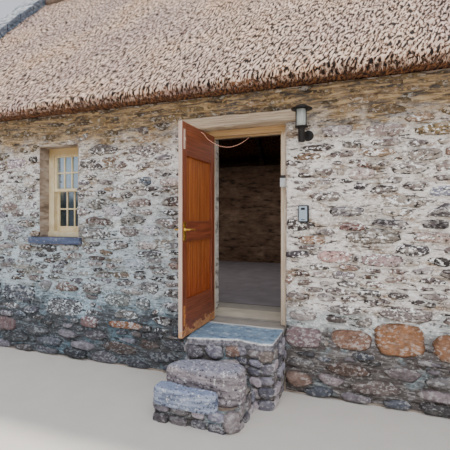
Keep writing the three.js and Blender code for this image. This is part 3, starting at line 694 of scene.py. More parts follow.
def stoneCells(face, look, sides, random):
    # Each stone is a cell round its seed. In every direction its edge is where a neighbour is as near,
    # allowing for size, or where an opening or the wall's end cuts it off.
    far, over = 9.0, wallLook["overlap"]
    taken = np.concatenate([face.holes, face.rocks])
    u, v, size = stoneSeeds(face, look, random)
    flat = np.stack([u / look["lens"], v], 1)
    gap = ((flat[:, None] - flat[None]) ** 2).sum(-1)
    near = np.argpartition(gap, min(20, len(u) - 1), axis=1)[:, :21]
    toward = flat[near] - flat[:, None]
    weight = 0.2 * size ** 2 / look["lens"]
    turn = (np.arange(sides) + random.uniform(0, 1, (len(u), 1))) * 2 * math.pi / sides
    ray = np.stack([np.cos(turn), np.sin(turn)], -1)
    dot = np.einsum("nkc,nsc->nsk", toward, ray)
    top = ((toward ** 2).sum(-1) + weight[:, None] - weight[near])[:, None, :]
    radius = np.where(dot > 1e-4, top / (2 * np.maximum(dot, 1e-4)), far).min(-1).clip(-1, 0.3)
    du, dv = ray[..., 0] * look["lens"], ray[..., 1]
    true = np.hypot(du, dv)
    du, dv, radius = du / true, dv / true, radius * true
    for hole in taken:
        with np.errstate(divide="ignore", invalid="ignore"):
            a, b = (hole[0] - u[:, None]) / du, (hole[2] - u[:, None]) / du
            c, d = (hole[1] - v[:, None]) / dv, (hole[3] - v[:, None]) / dv
        enter = np.maximum(np.minimum(a, b), np.minimum(c, d))
        leave = np.minimum(np.maximum(a, b), np.maximum(c, d))
        radius = np.where((leave > enter) & (enter > 0), np.minimum(radius, enter + over), radius)
    step, inside = face.edges(u, v)
    closing = step[:, 1] * du[..., None] - step[:, 0] * dv[..., None]
    meet = np.where(closing > 1e-3, inside[:, None, :] / np.maximum(closing, 1e-3), far).min(-1)
    radius = np.minimum(radius, meet + over)
    cover = random.uniform(*look["cover"], len(u))[:, None]
    radius = radius * cover * (1 - look["ragged"] * random.uniform(0, 1, radius.shape)) - look["joint"] / 2
    radius = np.minimum(radius, 0.6 * (np.roll(radius, 1, 1) + np.roll(radius, -1, 1)))
    keep = (radius.min(1) > 0.01) & (inside.min(1) > 0.01) & ~isWithin(u, v, taken, 0.01)
    return [part[keep] for part in (u, v, size, du, dv, radius)]


def stoneColours(v, look, random):
    # ochre-brown under the eave as painted shade, dark slate at the foot, mixed between
    def pick(name):
        colours = np.array([linear(code)[:3] for code in look[name]])
        return colours[random.integers(0, len(colours), len(v))]
    shake = random.uniform(-0.2, 0.2, len(v))
    # under the eave, stones take the painted-shade colours
    tint = np.where((v + shake > wallHead - 0.42)[:, None], pick("eaveShade"), pick("body"))
    tint = np.where((v + 0.5 * shake < plinthTop + 0.06)[:, None], pick("low"), tint)
    return tint * random.uniform(0.25, 1.1, (len(v), 1))


def raiseStones(face, cells, proud, tint, look, rings, random):
    # Rings of each cell rise from the joint to the stone's face, tilted a little and broken by noise:
    # height = rise * (proud + tilt * place) + noise. The last ring is sunk in the mortar, and one more
    # face closes the back. Painted shade darkens the edge at the joint, most of all below.
    u, v, _, du, dv, radius = cells
    scale, rise = np.array(look[rings])
    count, sides, rows = len(u), radius.shape[1], len(scale)
    uu = scale[:, None] * (radius * du)[:, None, :]
    vv = scale[:, None] * (radius * dv)[:, None, :]
    tilt = random.uniform(-look["tilt"], look["tilt"], (2, count, 1, 1))
    hh = rise[:, None] * (proud[:, None, None] + tilt[0] * uu + tilt[1] * vv)
    hh[:, -1] -= look["sunk"]
    # painted shade at each stone's joint, darker on its lower side
    below = 0.5 - 0.5 * dv / np.maximum(np.abs(dv).max(1)[:, None], 1e-3)
    start, more = look["jointShade"]
    shade = 1 - (rise < 0.5)[:, None] * (start + more * below)[:, None, :]
    uu, vv, hh, shade = (
        np.concatenate([centre[:, None], around.reshape(count, -1)], 1)
        for centre, around in ((u, u[:, None, None] + uu), (v, v[:, None, None] + vv), (proud, hh),
                               (np.ones(count), shade)))
    spot = onPlane(uu, vv)
    coarse, small = look["broken"]
    broken = coarse * softNoise(spot, 0.05, 1) + small * softNoise(spot, 0.02, 2)
    hh = hh + broken * np.concatenate([[1.0], np.repeat(rise, sides)])
    each = 1 + rows * sides
    k = np.arange(sides)
    after = (k + 1) % sides
    one = [np.stack([0 * k, 1 + k, 1 + after], 1)]
    for corners in ([k, sides + k, sides + after], [k, sides + after, after]):
        one += [np.stack(corners, 1) + 1 + r * sides for r in range(rows - 1)]
    first = (np.arange(count) * each)[:, None, None]
    faces = (np.concatenate(one)[None] + first).reshape(-1, 3)
    backs = (each - 1 - k)[None] + first[:, 0]
    colours = tint[:, None] * shade[..., None]
    return face.place(uu, vv, hh).reshape(-1, 3), [faces, backs], colours.reshape(-1, 3)


def joinParts(parts):
    # meshes given as points, lists of faces and numbers for each point, as one mesh
    points, faces, numbers = zip(*parts)
    starts = np.cumsum([0] + [len(some) for some in points])
    faces = [np.concatenate([some + s for some, s in zip(group, starts)]) for group in zip(*faces)]
    return np.concatenate(points), faces, np.concatenate(numbers)


def makeStones(name, parts):
    # all the parts' stones as one piece
    points, faces, tint = joinParts(parts)
    meshObject(name, points, faces, stoneFinish, values={"tint": tint})


def layStones(name, walls, look, seed, sides=14, rings="near", halves=("",)):
    # one mesh, or two that meet at the door's middle
    random = np.random.default_rng(seed)
    meshes = [[] for _ in halves]
    for face in walls:
        cells = stoneCells(face, look, sides, random)
        u, v, size = cells[:3]
        proud = random.uniform(*look["proud"], len(u)) * (0.6 + 2.4 * size)
        proud *= 1 - look["calm"] * ((v > wallHead - 0.4) & (v < wallHead))
        tint = stoneColours(v, look, random)
        for number, parts in enumerate(meshes):
            some = ((u >= 0) & (len(halves) > 1)) == number
            if some.any():
                parts.append(raiseStones(face, [part[some] for part in cells], proud[some], tint[some], look,
                                         rings, random))
    for ending, parts in zip(halves, meshes):
        makeStones(name + ending, parts)


largeStones = [     # centre, width and height on the front wall, how far it stands out, and its colour
    (0.635, 0.535, 0.37, 0.19, 0.030, "#776264"), (1.06, 0.555, 0.37, 0.17, 0.030, "#80604e"),
    (1.465, 0.595, 0.43, 0.28, 0.045, "#946848"), (1.90, 0.56, 0.36, 0.23, 0.035, "#8d6448"),
    (-3.01, 0.69, 0.60, 0.23, 0.045, "#615f64"), (-2.25, 0.585, 0.59, 0.21, 0.040, "#6b6563"),
    (-1.49, 0.72, 0.40, 0.15, 0.035, "#85837a"), (-1.155, 0.70, 0.21, 0.14, 0.035, "#7f7f7c"),
    (-1.84, 0.45, 0.27, 0.14, 0.030, "#94706a"), (-3.17, 0.31, 0.38, 0.19, 0.030, "#8a6a66"),
    (-1.345, 0.46, 0.48, 0.085, 0.025, "#ad7452"), (-1.86, 0.83, 0.30, 0.14, 0.030, "#84776f"),
    (-3.05, 2.36, 0.36, 0.14, 0.025, "#a08c94"), (-1.57, 1.74, 0.29, 0.13, 0.030, "#bdb0b0"),
    (-1.13, 2.07, 0.17, 0.11, 0.025, "#56606c"), (-1.27, 1.14, 0.29, 0.12, 0.030, "#c9c9ce"),
    (-1.05, 1.52, 0.24, 0.12, 0.030, "#c2bbbe"), (1.67, 2.21, 0.28, 0.11, 0.035, "#94877c"),
    (1.15, 2.06, 0.24, 0.11, 0.025, "#bba69e"), (0.84, 1.86, 0.29, 0.10, 0.030, "#82766f"),
    (1.02, 1.72, 0.32, 0.095, 0.030, "#756f70"), (0.71, 1.45, 0.28, 0.085, 0.025, "#9c7b63"),
    (0.91, 1.30, 0.34, 0.12, 0.030, "#c39c94"), (1.32, 1.28, 0.37, 0.125, 0.035, "#ab9390"),
    (0.57, 1.31, 0.24, 0.08, 0.025, "#544c50"), (1.07, 1.58, 0.25, 0.075, 0.025, "#80605a"),
    (1.80, 1.89, 0.22, 0.10, 0.025, "#908fa0"), (0.75, 2.32, 0.36, 0.07, 0.025, "#4c403c"),
]


def roomFor(stone, spare=0.004):
    # the box that a large stone takes up on its wall
    u, v, wide, high = stone[:4]
    return [u - wide / 2 - spare, v - high / 2 - spare, u + wide / 2 + spare, v + high / 2 + spare]


def layLargeStones(name, face, stones, look, seed, sides=24, power=3.2):
    # oblongs with rounded corners: the edge lies (|cos / a|^p + |sin / b|^p)^(-1/p) from the centre
    random = np.random.default_rng(seed)
    u, v, wide, high, proud = np.array([stone[:5] for stone in stones]).T
    turn = (np.arange(sides) + random.uniform(0, 1, (len(u), 1))) * 2 * math.pi / sides
    du, dv = np.cos(turn) * (wide / high)[:, None], np.sin(turn)
    true = np.hypot(du, dv)
    du, dv = du / true, dv / true
    ratio = np.abs(2 * du / wide[:, None]) ** power + np.abs(2 * dv / high[:, None]) ** power
    radius = ratio ** (-1 / power) * random.uniform(0.9, 1.0, du.shape)
    cells = [u, v, np.sqrt(wide * high), du, dv, radius]
    tint = np.array([linear(stone[5])[:3] for stone in stones])
    makeStones(name, [raiseStones(face, cells, proud, tint, look, "near", random)])


mortarLook = {
    "thick": 0.009,
    "patches": 0.006,    # where it is smeared thicker
    "trowel": 0.005,     # strokes of the trowel, along the beds
    "crumble": 0.004,
    "footPart": 0.3,     # the foot was never pointed up: how much of the thickness is left there
    "ropes": 0.012,      # long ridges under the eave
}


def mortarSheet(face, spacing, look):
    # A sheet over the face: h(u, v) is a mean thickness with broad patches, flat strokes and crumbs, and
    # sunk into the wall at its edges. Grid lines are moved onto the edges of the openings.
    low, high = face.outline.min(0), face.outline.max(0)
    lines = [np.linspace(low[i], high[i], int((high[i] - low[i]) / spacing) + 2) for i in (0, 1)]
    for i, line in enumerate(lines):
        for edge in face.holes[:, [i, i + 2]].ravel():
            if low[i] < edge < high[i]:
                line[np.abs(line - edge).argmin()] = edge
    u, v = np.meshgrid(*lines)
    spot = onPlane(u, v)
    height = (look["thick"] + look["patches"] * softNoise(spot, 0.2, 3)
              + look["trowel"] * softNoise(spot * (0.4, 1, 1), 0.05, 4)
              + look["crumble"] * softNoise(spot, 0.04, 5))
    height *= np.where(v < plinthTop + 0.04, look["footPart"], 1)
    ease = np.clip((v - wallHead + 0.55) / 0.3, 0, 1) * (v <= wallHead + 0.01)
    wave = onPlane(0.25 * u, v + 0.15 * softNoise(spot, 0.5, 8))
    height += look["ropes"] * ease * softNoise(wave, 0.07, 9)
    inside = face.edges(u, v)[1].min(-1)
    bound = (inside < 1e-3) | (face.inHole(u, v, 1e-4) & ~face.inHole(u, v, -1e-4))
    height = np.where(bound, -0.02, np.maximum(height, 0.001))
    faces = gridFaces(*u.shape)
    middle = [part.ravel()[faces].mean(1) for part in (u, v)]
    faces = faces[~face.inHole(*middle) & (face.edges(*middle)[1].min(-1) > -0.3 * spacing)]
    used, number = np.unique(faces, return_inverse=True)
    return face.place(u, v, height).reshape(-1, 3)[used], [number.reshape(faces.shape)], np.zeros(0)


def layMortar(name, walls, spacing, look):
    # the sheets of all the walls as one piece
    points, sheets, _ = joinParts([mortarSheet(face, spacing, look) for face in walls])
    meshObject(name, points, sheets, mortarFinish)


def holeOf(name, flip=1):
    # low u, low v, high u, high v of a piece on the front wall, or with flip -1 on the back one
    low, high = limits(name)
    ends = sorted([flip * low[0], flip * high[0]])
    return [ends[0], low[2], ends[1], high[2]]


def rectangle(u0, v0, u1, v1):
    return [(u0, v0), (u1, v0), (u1, v1), (u0, v1)]


def parapetTop(y):
    # top of a gable's masonry, under its coping
    return float(faceHeight(y)) + parapetRise


stoneFinish = rubbleStone()
mortarFinish = limeMortar()
wallEnd = halfLength + plinthOut
stackLow, stackHigh = limits("chimney_stack")
capThick, capOver = 0.11, 0.03          # the chimney's cap, and how far it stands out
stackTop = stackHigh[2] - capThick
stackY = [stackLow[1] + capOver, stackHigh[1] - capOver]
stackFoot = parapetTop(stackY[0])
offWall = [[-wallEnd - 1, 0.6, -halfLength, wallHead + 1], [halfLength, 0.6, wallEnd + 1, wallHead + 1]]
doorway = [-0.45, 0, 0.45, lintelLow[2]]
frontHoles, backHoles = ([holeOf(f"{wall}_{side}_window{end}", flip) for side in ("left", "right")
                          for end in ("", "_sill")] for wall, flip in (("front", 1), ("back", -1)))
longWall = rectangle(-wallEnd, 0, wallEnd, wallHead)
gableOutline = [(0, 0), (depth, 0), (depth, parapetTop(depth)), (ridgeY, parapetTop(ridgeY)),
                (0, parapetTop(0))]
leftOutline = [(u - depth, v) for u, v in gableOutline]

front = Face((0, 0, 0), (1, 0, 0), longWall, [*frontHoles, *offWall, doorway, holeOf("door_lintel")],
             plinthOut)
front.rocks = np.array([roomFor(stone) for stone in largeStones]
                       + [holeOf(name) for name in ("lantern", "key_safe", "bell_box")])
back = Face((0, depth, 0), (-1, 0, 0), longWall, [*backHoles, *offWall], plinthOut)
leftGable = Face((-halfLength, 0, 0), (0, -1, 0), leftOutline, foot=plinthOut)
rightGable = Face((halfLength, 0, 0), (0, 1, 0), gableOutline, [[stackY[0], stackFoot, stackY[1], 9]],
                  plinthOut)
chimney = [Face(origin, along, rectangle(start, stackFoot, end, stackTop)) for origin, along, start, end in (
    ((halfLength, 0, 0), (0, 1, 0), stackY[0], stackY[1]),
    ((parapetX, 0, 0), (0, -1, 0), -stackY[1], -stackY[0]),
    ((0, stackY[0], 0), (1, 0, 0), parapetX, halfLength),
    ((0, stackY[1], 0), (-1, 0, 0), -halfLength, -parapetX))]


def facets(plan, top, spare=0.022):
    # a face over each side of a plan, whose corners run from left to right round the front
    plan = np.array(plan, float)
    sizes = np.linalg.norm(np.diff(plan, axis=0), axis=1)
    return [Face((*a, 0), (*(b - a), 0), rectangle(-spare, -0.02, size + spare, top + 0.01))
            for a, b, size in zip(plan, plan[1:], sizes)]


underSlab = [(-0.4, -0.075), (-0.325, -0.545), (0.115, -0.435), (0.335, -0.49), (0.43, -0.465), (0.43, 0)]
underSteps = [(-0.30, -0.42), (-0.43, -0.60), (-0.43, -0.96), (0.18, -0.96), (0.26, -0.88), (0.26, -0.42)]
entrance = facets(underSlab, slabLow[2]) + facets(underSteps, 0.15)
# on walls with no eave over them, the stones get no painted eave shade
openLook = stoneLook | {"eaveShade": stoneLook["body"]}    # for walls that no eave shelters
blockLook = stoneLook | {
    "course": (0.08, 0.14),
    "stretch": (1.2, 2.2),
    "lens": 1.8,
    "cover": (0.97, 1.03),
    "low": ["#b3a6ad", "#9b95a1", "#bfb3b3", "#8b8896", "#aba3ae", "#a39696"],
}
bedLook = mortarLook | {"thick": 0.002, "patches": 0.002, "trowel": 0.002}
layStones("front_stones", [front], stoneLook, 7, halves=("_left", "_right"))
layMortar("front_mortar", [front], 0.025, mortarLook)
layLargeStones("large_stones", front, largeStones, stoneLook, 6)
for seed, name, walls, look in (
        (8, "back", [back], stoneLook), (9, "left_gable", [leftGable], openLook),
        (10, "right_gable", [rightGable], openLook), (11, "chimney", chimney, openLook)):
    layStones(name + "_stones", walls, look, seed, 9, "far")
    layMortar(name + "_mortar", walls, 0.05, mortarLook)
layStones("entrance_stones", entrance, blockLook, 15, 12)
layMortar("entrance_mortar", entrance, 0.03, bedLook)


def refinish(names, finish):
    # a node keeps its shape and gets a finish of its own
    for name in names:
        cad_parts[name].data.materials.clear()
        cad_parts[name].data.materials.append(finish)


wallNodes = ["front_wall_left", "front_wall_right", "front_wall_over_door", "back_wall", "left_gable",
             "right_gable", "chimney_stack", "entrance_base"]
refinish(wallNodes, limewashedWall())
print("walls are laid")


# Thatch: a closed section carried along the house, whose outer face is lumpy, combed and frayed

thatchLook = {
    "across": 0.0196,    # spacing of the grid along the house
    "down": 0.031,       # and down the slope
    "lean": 0.26,        # the straws lie this far off the slope, in radians
    "reach": parapetX,
    "noseRadius": 0.05,
    "under": 0.48,       # upright thickness
    "sag": 0.022,        # heights of its broad waves, its clumps and the ends of its tufts
    "clump": 0.009,
    "ends": 0.014,
    "widths": (0.9, 0.3, 0.07, 0.034),     # of the broad and the lesser waves, the clumps and the tufts
    "stray": 0.003,
    "droop": (0.018, 1.4),                 # how far the eave wanders out and in, and over what length
    "strawCount": 7000,
    "strawLength": (0.02, 0.055),
    "strawWidth": (0.002, 0.005),
    "strawRoot": 0.04,   # distance from the middle of the nose
}


def noseCentre(look):
    # middle of the rounded lower edge, one radius inside the thatch's face
    y = -eaveOut + 0.04
    return np.array([y, faceHeight(y) - look["noseRadius"] / math.cos(roofPitch)])


def thatchSection(look):
    # from the heel on the wall, out under the eave, round the nose, up to the ridge and back underneath
    heel = ((look["under"] - eaveLift) / math.tan(roofPitch) - eaveOut, wallHead + 0.004)
    turn = np.linspace(1.5 * math.pi, math.pi / 2 + roofPitch, 9)
    bend = np.stack([np.cos(turn), np.sin(turn)], 1)
    nose = noseCentre(look) + look["noseRadius"] * bend
    eave = np.linspace(heel, nose[0], 7)[:-1]
    top = np.array([ridgeY, faceHeight(ridgeY)])
    count = int(np.linalg.norm(top - nose[-1]) / look["down"])
    rise = np.linspace(nose[-1], top, count + 1)[1:]
    under = np.linspace(top - (0, look["under"]), heel, 12)[:-1]
    normals = np.concatenate([np.tile([0, -1], (6, 1)), bend, np.tile(bend[-1], (count, 1))])
    return np.concatenate([eave, nose, rise]), normals, under


ridgeLook = {
    "reach": 5.2,        # half of its length
    "half": 0.44,        # half of its width, level
    "rise": 0.125,       # upright height over the thatch
    "soft": 0.06,        # roundness of its top
    "rodAt": (-0.33, -0.12, 0.12, 0.33),
    "rod": 0.009,
    "waver": (0.02, 0.7),                  # how far a rod wanders, and over what length
    "rodLift": 0.012,    # its middle over the thatch
}


def ridgeSection(look):
    # an even cover over the top: |y| is softened to sqrt(y^2 + s^2) - s, so that it bends round the ridge
    half, soft = look["half"], look["soft"]
    y = np.linspace(-half, half, 49)
    fall = (np.sqrt(y * y + soft ** 2) - soft) * half / (math.hypot(half, soft) - soft)
    outer = np.stack([ridgeY + y, faceHeight(ridgeY) + look["rise"] - fall * math.tan(roofPitch)], 1)
    ahead = unit(np.gradient(outer, axis=0))
    below = ridgeY + np.linspace(half - 0.015, 0.015 - half, 9)
    return outer, np.stack([-ahead[:, 1], ahead[:, 0]], 1), np.stack([below, faceHeight(below) - 0.03], 1)


def makeRidgeRods(look, finish):
    # split hazel rods that hold the ridge down, as tubes that waver by their length
    outer = ridgeSection(look)[0]
    x = np.linspace(-look["reach"] + 0.02, look["reach"] - 0.02, 130)
    far, long = look["waver"]
    pile = Pile(16)
    for number, y in enumerate(look["rodAt"]):
        side = ridgeY + y + far * softNoise(np.stack([x, 0 * x, 0 * x], -1), long, number)
        top = np.interp(side, outer[:, 0], outer[:, 1]) + look["rodLift"]
        pile.add(*tube(np.stack([x, side, top], 1), look["rod"], 7, (0, 0, 1)))
    pile.make("ridge_rods", finish, "roof_timber")


def makeThatch(name, node, seed, place, look, finish, section=thatchSection):
    # The section's points move out along their normals by a height h(x, s), for x along the house and s
    # down the slope. Clumps and tufts are measured along the straws, which lean off the slope.
    random = np.random.default_rng(seed)
    outer, normals, under = section(look)
    travel = travelAlong(outer)
    x = np.linspace(-look["reach"], look["reach"], int(2 * look["reach"] / look["across"]))
    xx, ss = np.meshgrid(x, travel, indexing="ij")
    cosine, sine = math.cos(look["lean"]), math.sin(look["lean"])
    spot = np.stack([xx, ss, 0 * xx + seed], -1)
    straw = np.stack([cosine * xx - sine * ss, 0.35 * (cosine * ss + sine * xx), spot[..., 2]], -1)
    broad, lesser, clump, tuft = look["widths"]
    height = (look["sag"] * softNoise(spot * (1, 0.6, 1), broad, seed)
              + 0.4 * look["sag"] * softNoise(spot, lesser, seed + 1)
              + look["clump"] * softNoise(straw, clump, seed + 2)
              + look["ends"] * softNoise(straw, tuft, seed + 3)
              + random.uniform(-look["stray"], look["stray"], xx.shape)) * np.clip(travel / 0.25, 0, 1)
    far, long = look["droop"]
    droop = far * softNoise(spot * (1, 0, 0), long, seed + 4) * np.clip(travel / 0.3, 0, 1)
    section = outer + height[..., None] * normals
    section[..., 1] += droop * np.clip(1 - travel / 3, 0, 1)
    section = np.concatenate([section, np.broadcast_to(under, (len(x),) + under.shape)], 1)
    wide = section.shape[1]
    points = np.concatenate([np.broadcast_to(x[:, None, None], (len(x), wide, 1)), section], -1)
    caps = np.stack([np.arange(wide), np.arange(wide)[::-1] + (len(x) - 1) * wide])
    down = np.concatenate([travel, np.linspace(travel[-1], 2 * travel[-1], len(under))])
    grain = np.stack(np.broadcast_arrays(cosine * down + sine * x[:, None],
                                         cosine * x[:, None] - sine * down, 0.0), -1)
    meshObject(name, place(points.reshape(-1, 3)), [gridFaces(len(x), wide, True)[:, ::-1], caps], finish,
               values={"grain": grain.reshape(-1, 3)}, replaces=(node,))


def makeEaveStraws(name, seed, place, look, finish):
    # each straw is a thin three-sided spike, rooted in the nose and pointing down and out
    random = np.random.default_rng(seed)
    count = look["strawCount"]
    turn = random.uniform(1.1 * math.pi, 1.5 * math.pi, count)
    centre, out = noseCentre(look), look["strawRoot"]
    root = np.stack([random.uniform(-parapetX + 0.02, parapetX - 0.02, count),
                     centre[0] + out * np.cos(turn), centre[1] + out * np.sin(turn)], 1)
    ahead = unit(np.stack([random.normal(0, 0.2, count), np.cos(turn) * 0.5 - 0.1,
                           np.sin(turn) * 0.3 - 0.8], 1))
    length = random.uniform(*look["strawLength"], (count, 1))
    side = unit(np.cross(ahead, random.normal(0, 1, (count, 3))))
    other = np.cross(ahead, side)
    width = random.uniform(*look["strawWidth"], (count, 1))
    base = [root + width * (math.cos(a) * side + math.sin(a) * other) for a in (0, 2.094, 4.189)]
    points = np.stack([*base, root + length * ahead], 1)
    one = np.array([(0, 1, 3), (1, 2, 3), (2, 0, 3), (0, 2, 1)])
    spikes = (one[None] + 4 * np.arange(count)[:, None, None]).reshape(-1, 3)
    grain = np.stack(np.broadcast_arrays(root[:, 1:2] + length * (0, 0, 0, 1), root[:, :1], 0.0), -1)
    meshObject(name, place(points.reshape(-1, 3)), spikes, finish, smooth=False,
               values={"grain": grain.reshape(-1, 3)})


def unmoved(points):
    return points


strawFinish = weatheredStraw()
backLook = thatchLook | {"across": 0.045, "down": 0.06, "strawCount": 2600}
makeThatch("thatch_front", "front_thatch", 11, unmoved, thatchLook, strawFinish)
makeThatch("thatch_back", "back_thatch", 12, turnToBack, backLook, strawFinish)
coverLook = thatchLook | ridgeLook | {"across": 0.04, "sag": 0.01}
makeThatch("thatch_ridge", "ridge_thatch", 15, unmoved, coverLook, strawFinish, ridgeSection)
hazel, hazelColour, hazelGrain = sawnWood("hazelRods", "#5c4a38", "#8a7358", "#ad9878", 0.01, 0.3, 0.85)
makeRidgeRods(ridgeLook, hazel.finish(hazelColour, hazelGrain, 0.002))
makeEaveStraws("eave_straws_front", 13, unmoved, thatchLook, strawFinish)
makeEaveStraws("eave_straws_back", 14, turnToBack, backLook, strawFinish)
print("thatch is laid")


# Windows: a box frame, an upper sash outside and a lower one inside, each with six panes

windowLook = {
    "edge": 0.003,       # roundness of planed edges
    "bar": 0.018,
    "panes": (3, 2),
    "setBack": 0.014,
    "meeting": 0.513,    # height of the meeting rail over the foot
    "box": (0.08, 0.08, 0.065),            # widths of the sides, the head and the foot
    "bead": (0.016, 0.012, 0.004),
    "upperSash": (0.042, 0.035, 0.037),
    "lowerSash": (0.042, 0.037, 0.07),
    "upperAt": (0.008, 0.0505),            # faces of the upper sash, behind the box's own face
    "lowerAt": 0.0555,                     # outer face of the lower one
    "glass": 0.003,
    "glassAt": (0.028, 0.075),
}


def windowPaint():
    # Oil paint on wood, cream, flaked in places down to grey wood; ochre under the head is painted light in
    # the shade there
    f = Finish("windowPaint", 0.5)
    body = f.add("ramp", f.lumps(0.12, 5), (0.3, "#c9b489"), (0.5, "#dccaa0"), (0.7, "#e8d9b8"))
    streak = f.lumps((0.02, 0.02, 0.3), 4)
    # ochre near the head: painted light reflected into its shade
    body = f.add("mix", f.add("times", f.between("Z", 2.38, 2.5, streak, 0.08), 0.8), body, "#ab8a54")
    body = f.spots(body, f.lumps((0.012, 0.012, 0.03), 4, 0.7), (0.31, 0.8), (0.36, 0.0), "#8a7a66")
    return f.finish(body, streak, 0.001)


def skyGlass():
    # Window glass with a painted sky reflection: pale in the upper panes and dark in the lower ones
    f = Finish("windowGlass", 0.04, ior=1.52)
    wave = f.lumps(0.25, 2)
    high = f.between("Z", 1.85, 2.1, wave, 0.15)
    # painted reflection: pale sky in the upper panes, dark in the lower ones
    body = f.add("mix", high, "#3c4a52", f.add("ramp", wave, (0.3, "#9fb6c6"), (0.7, "#c4d3de")))
    f.shader.inputs["Transmission Weight"].default_value = 0.45
    f.tree.links.new(f.add("ramp", high, (0.0, 0.35), (1.0, 0.75)), f.shader.inputs["Metallic"])
    return f.finish(body, wave, 0.002, 0.5)


def rivenSlate():
    # Split slate: blue-grey sheets with low ledges, dulled by rain
    f = Finish("rivenSlate", 0.7)
    layer = f.lumps((0.3, 0.09, 0.006), 4)
    body = f.add("ramp", layer, (0.3, "#343e58"), (0.5, "#475370"), (0.7, "#626f8d"))
    body = f.spots(body, f.lumps(0.04, 5, 0.7), (0.56, 0.0), (0.64, 0.6), "#a9aab0")
    return f.finish(body, layer, 0.004)


def framed(pile, low, high, widths, edge, bar=0.0, panes=(1, 1)):
    # two uprights with a head and a foot between them, and crossing bars set back from both faces
    (x0, y0, z0), (x1, y1, z1) = low, high
    side, head, foot = widths
    pile.box((x0, y0, z0), (x0 + side, y1, z1), edge)
    pile.box((x1 - side, y0, z0), (x1, y1, z1), edge)
    pile.box((x0 + side, y0, z1 - head), (x1 - side, y1, z1), edge)
    pile.box((x0 + side, y0, z0), (x1 - side, y1, z0 + foot), edge)
    for x in np.linspace(x0 + side, x1 - side, panes[0] + 1)[1:-1]:
        pile.box((x - bar / 2, y0 + 0.005, z0 + foot), (x + bar / 2, y1 - 0.005, z1 - head), edge)
    for z in np.linspace(z0 + foot, z1 - head, panes[1] + 1)[1:-1]:
        pile.box((x0 + side, y0 + 0.007, z - bar / 2), (x1 - side, y1 - 0.007, z + bar / 2), edge)


def frontLimits(name, place):
    # a piece's limits, or those it would have at the front wall if it belongs at the back
    corners = place(np.array(limits(name)))
    return corners.min(0), corners.max(0)


def makeWindow(name, place, look, finishes, seed):
    # everything is worked out at the front wall, and a back window is then turned to its place
    (x0, y0, z0), (x1, y1, z1) = frontLimits(name, place)
    centre, half = (x0 + x1) / 2, (x1 - x0) / 2
    face = y0 + look["setBack"]
    sashHalf = half - look["box"][0]
    foot, head = z0 + look["box"][2], z1 - look["box"][1]
    meeting = foot + look["meeting"]
    joinery = Pile(seed)

    def frameAt(half, near, far, bottom, top, widths, *bars):
        framed(joinery, (centre - half, near, bottom), (centre + half, far, top), widths, *bars)

    sash = look["edge"], look["bar"], look["panes"]
    frameAt(half, face, y1, z0, z1, look["box"], look["edge"])
    joinery.box((centre - half, y0, z0), (centre + half, face + 0.01, foot), 0.005)
    frameAt(sashHalf + 0.008, face - 0.007, face + 0.008, foot, head, look["bead"], 0.0018)
    outer, inner = (face + y for y in look["upperAt"])
    lower = face + look["lowerAt"]
    frameAt(sashHalf, outer, inner, meeting, head, look["upperSash"], *sash)
    frameAt(sashHalf, lower, y1 - 0.002, foot, meeting + look["lowerSash"][1], look["lowerSash"], *sash)
    joinery.make(name + "_joinery", finishes[0], "window_paint", replaces=(name,), move=place)
    panes = Pile(seed)
    inside = sashHalf - look["upperSash"][0] + 0.005
    spans = (meeting + 0.03, head - 0.03), (foot + 0.062, meeting + 0.004)
    for at, (low, high) in zip(look["glassAt"], spans):
        y = face + at
        panes.box((centre - inside, y, low), (centre + inside, y + look["glass"], high), 0.0008)
    panes.make(name + "_panes", finishes[1], "window_glass", replaces=(name + "_glass",), move=place)
    sill = Pile(seed)
    sill.box(*frontLimits(name + "_sill", place), 0.006, (26, 9, 3), 1, 0.005, 0.07)
    sill.make(name + "_slate", finishes[2], "slate", replaces=(name + "_sill",), move=place)


finishes = (windowPaint(), skyGlass(), rivenSlate())
windows = [f"{wall}_{side}_window" for wall in ("front", "back") for side in ("left", "right")]
for number, name in enumerate(windows):
    makeWindow(name, turnToBack if "back" in name else unmoved, windowLook, finishes, 40 + number)
print("windows are in")


# Doorway: its weathered beam, the frame, and the leaf with its boards and fittings

doorLook = {
    "edge": 0.004,
    "boards": 6,
    "boardEdge": 0.0035,
    "lockRail": (0.865, 1.05),       # above the door slab
    "bottomRail": 0.338,
    "frameHead": (1.953, 1.94),      # foot of the frame's head, and of the stop in it
    "peg": 0.006,
    "plate": (0.005, 0.022),         # thickness and half width of a handle's plate
    "lever": (0.009, 0.1),           # its radius, and its height over the foot of the plate
    "leverOut": 0.053,               # its middle over the leaf's face
    "screwsAt": (-0.09, 0.06),       # measured from the lever, as is the keyhole
    "keyhole": 0.055,
    "frameHalf": (0.385, 0.37),      # half widths between the jambs, and between their stops
}
screw = [(0, 0), (0.004, 0), (0.0034, 0.0012), (0, 0.0016)]


def weatheredBeam():
    # An old sawn beam, silvered by the weather, with long cracks along the grain
    f, body, grain = sawnWood("weatheredBeam", "#8d7862", "#bda88e", "#d9c8b2", 0.008, 0.5, 0.9, 0.8)
    return f.finish(body, grain, 0.004)


def framePaint():
    # Cream paint on the jambs, worn thin; the head is coloured as golden wood grain, which is painted light
    # in its shade
    f, wood, grain = sawnWood("framePaint", "#96744a", "#b8935f", "#cdac7c", 0.005, 0.4, 0.5)
    paint = f.add("ramp", f.lumps((0.03, 0.03, 0.3), 5), (0.3, "#cdb596"), (0.5, "#e3d0b4"), (0.7, "#f2e6d4"))
    # golden head: painted light in its shade
    return f.finish(f.add("mix", f.between("Z", 2.47, 2.54, grain, 0.1), paint, wood), grain, 0.001)


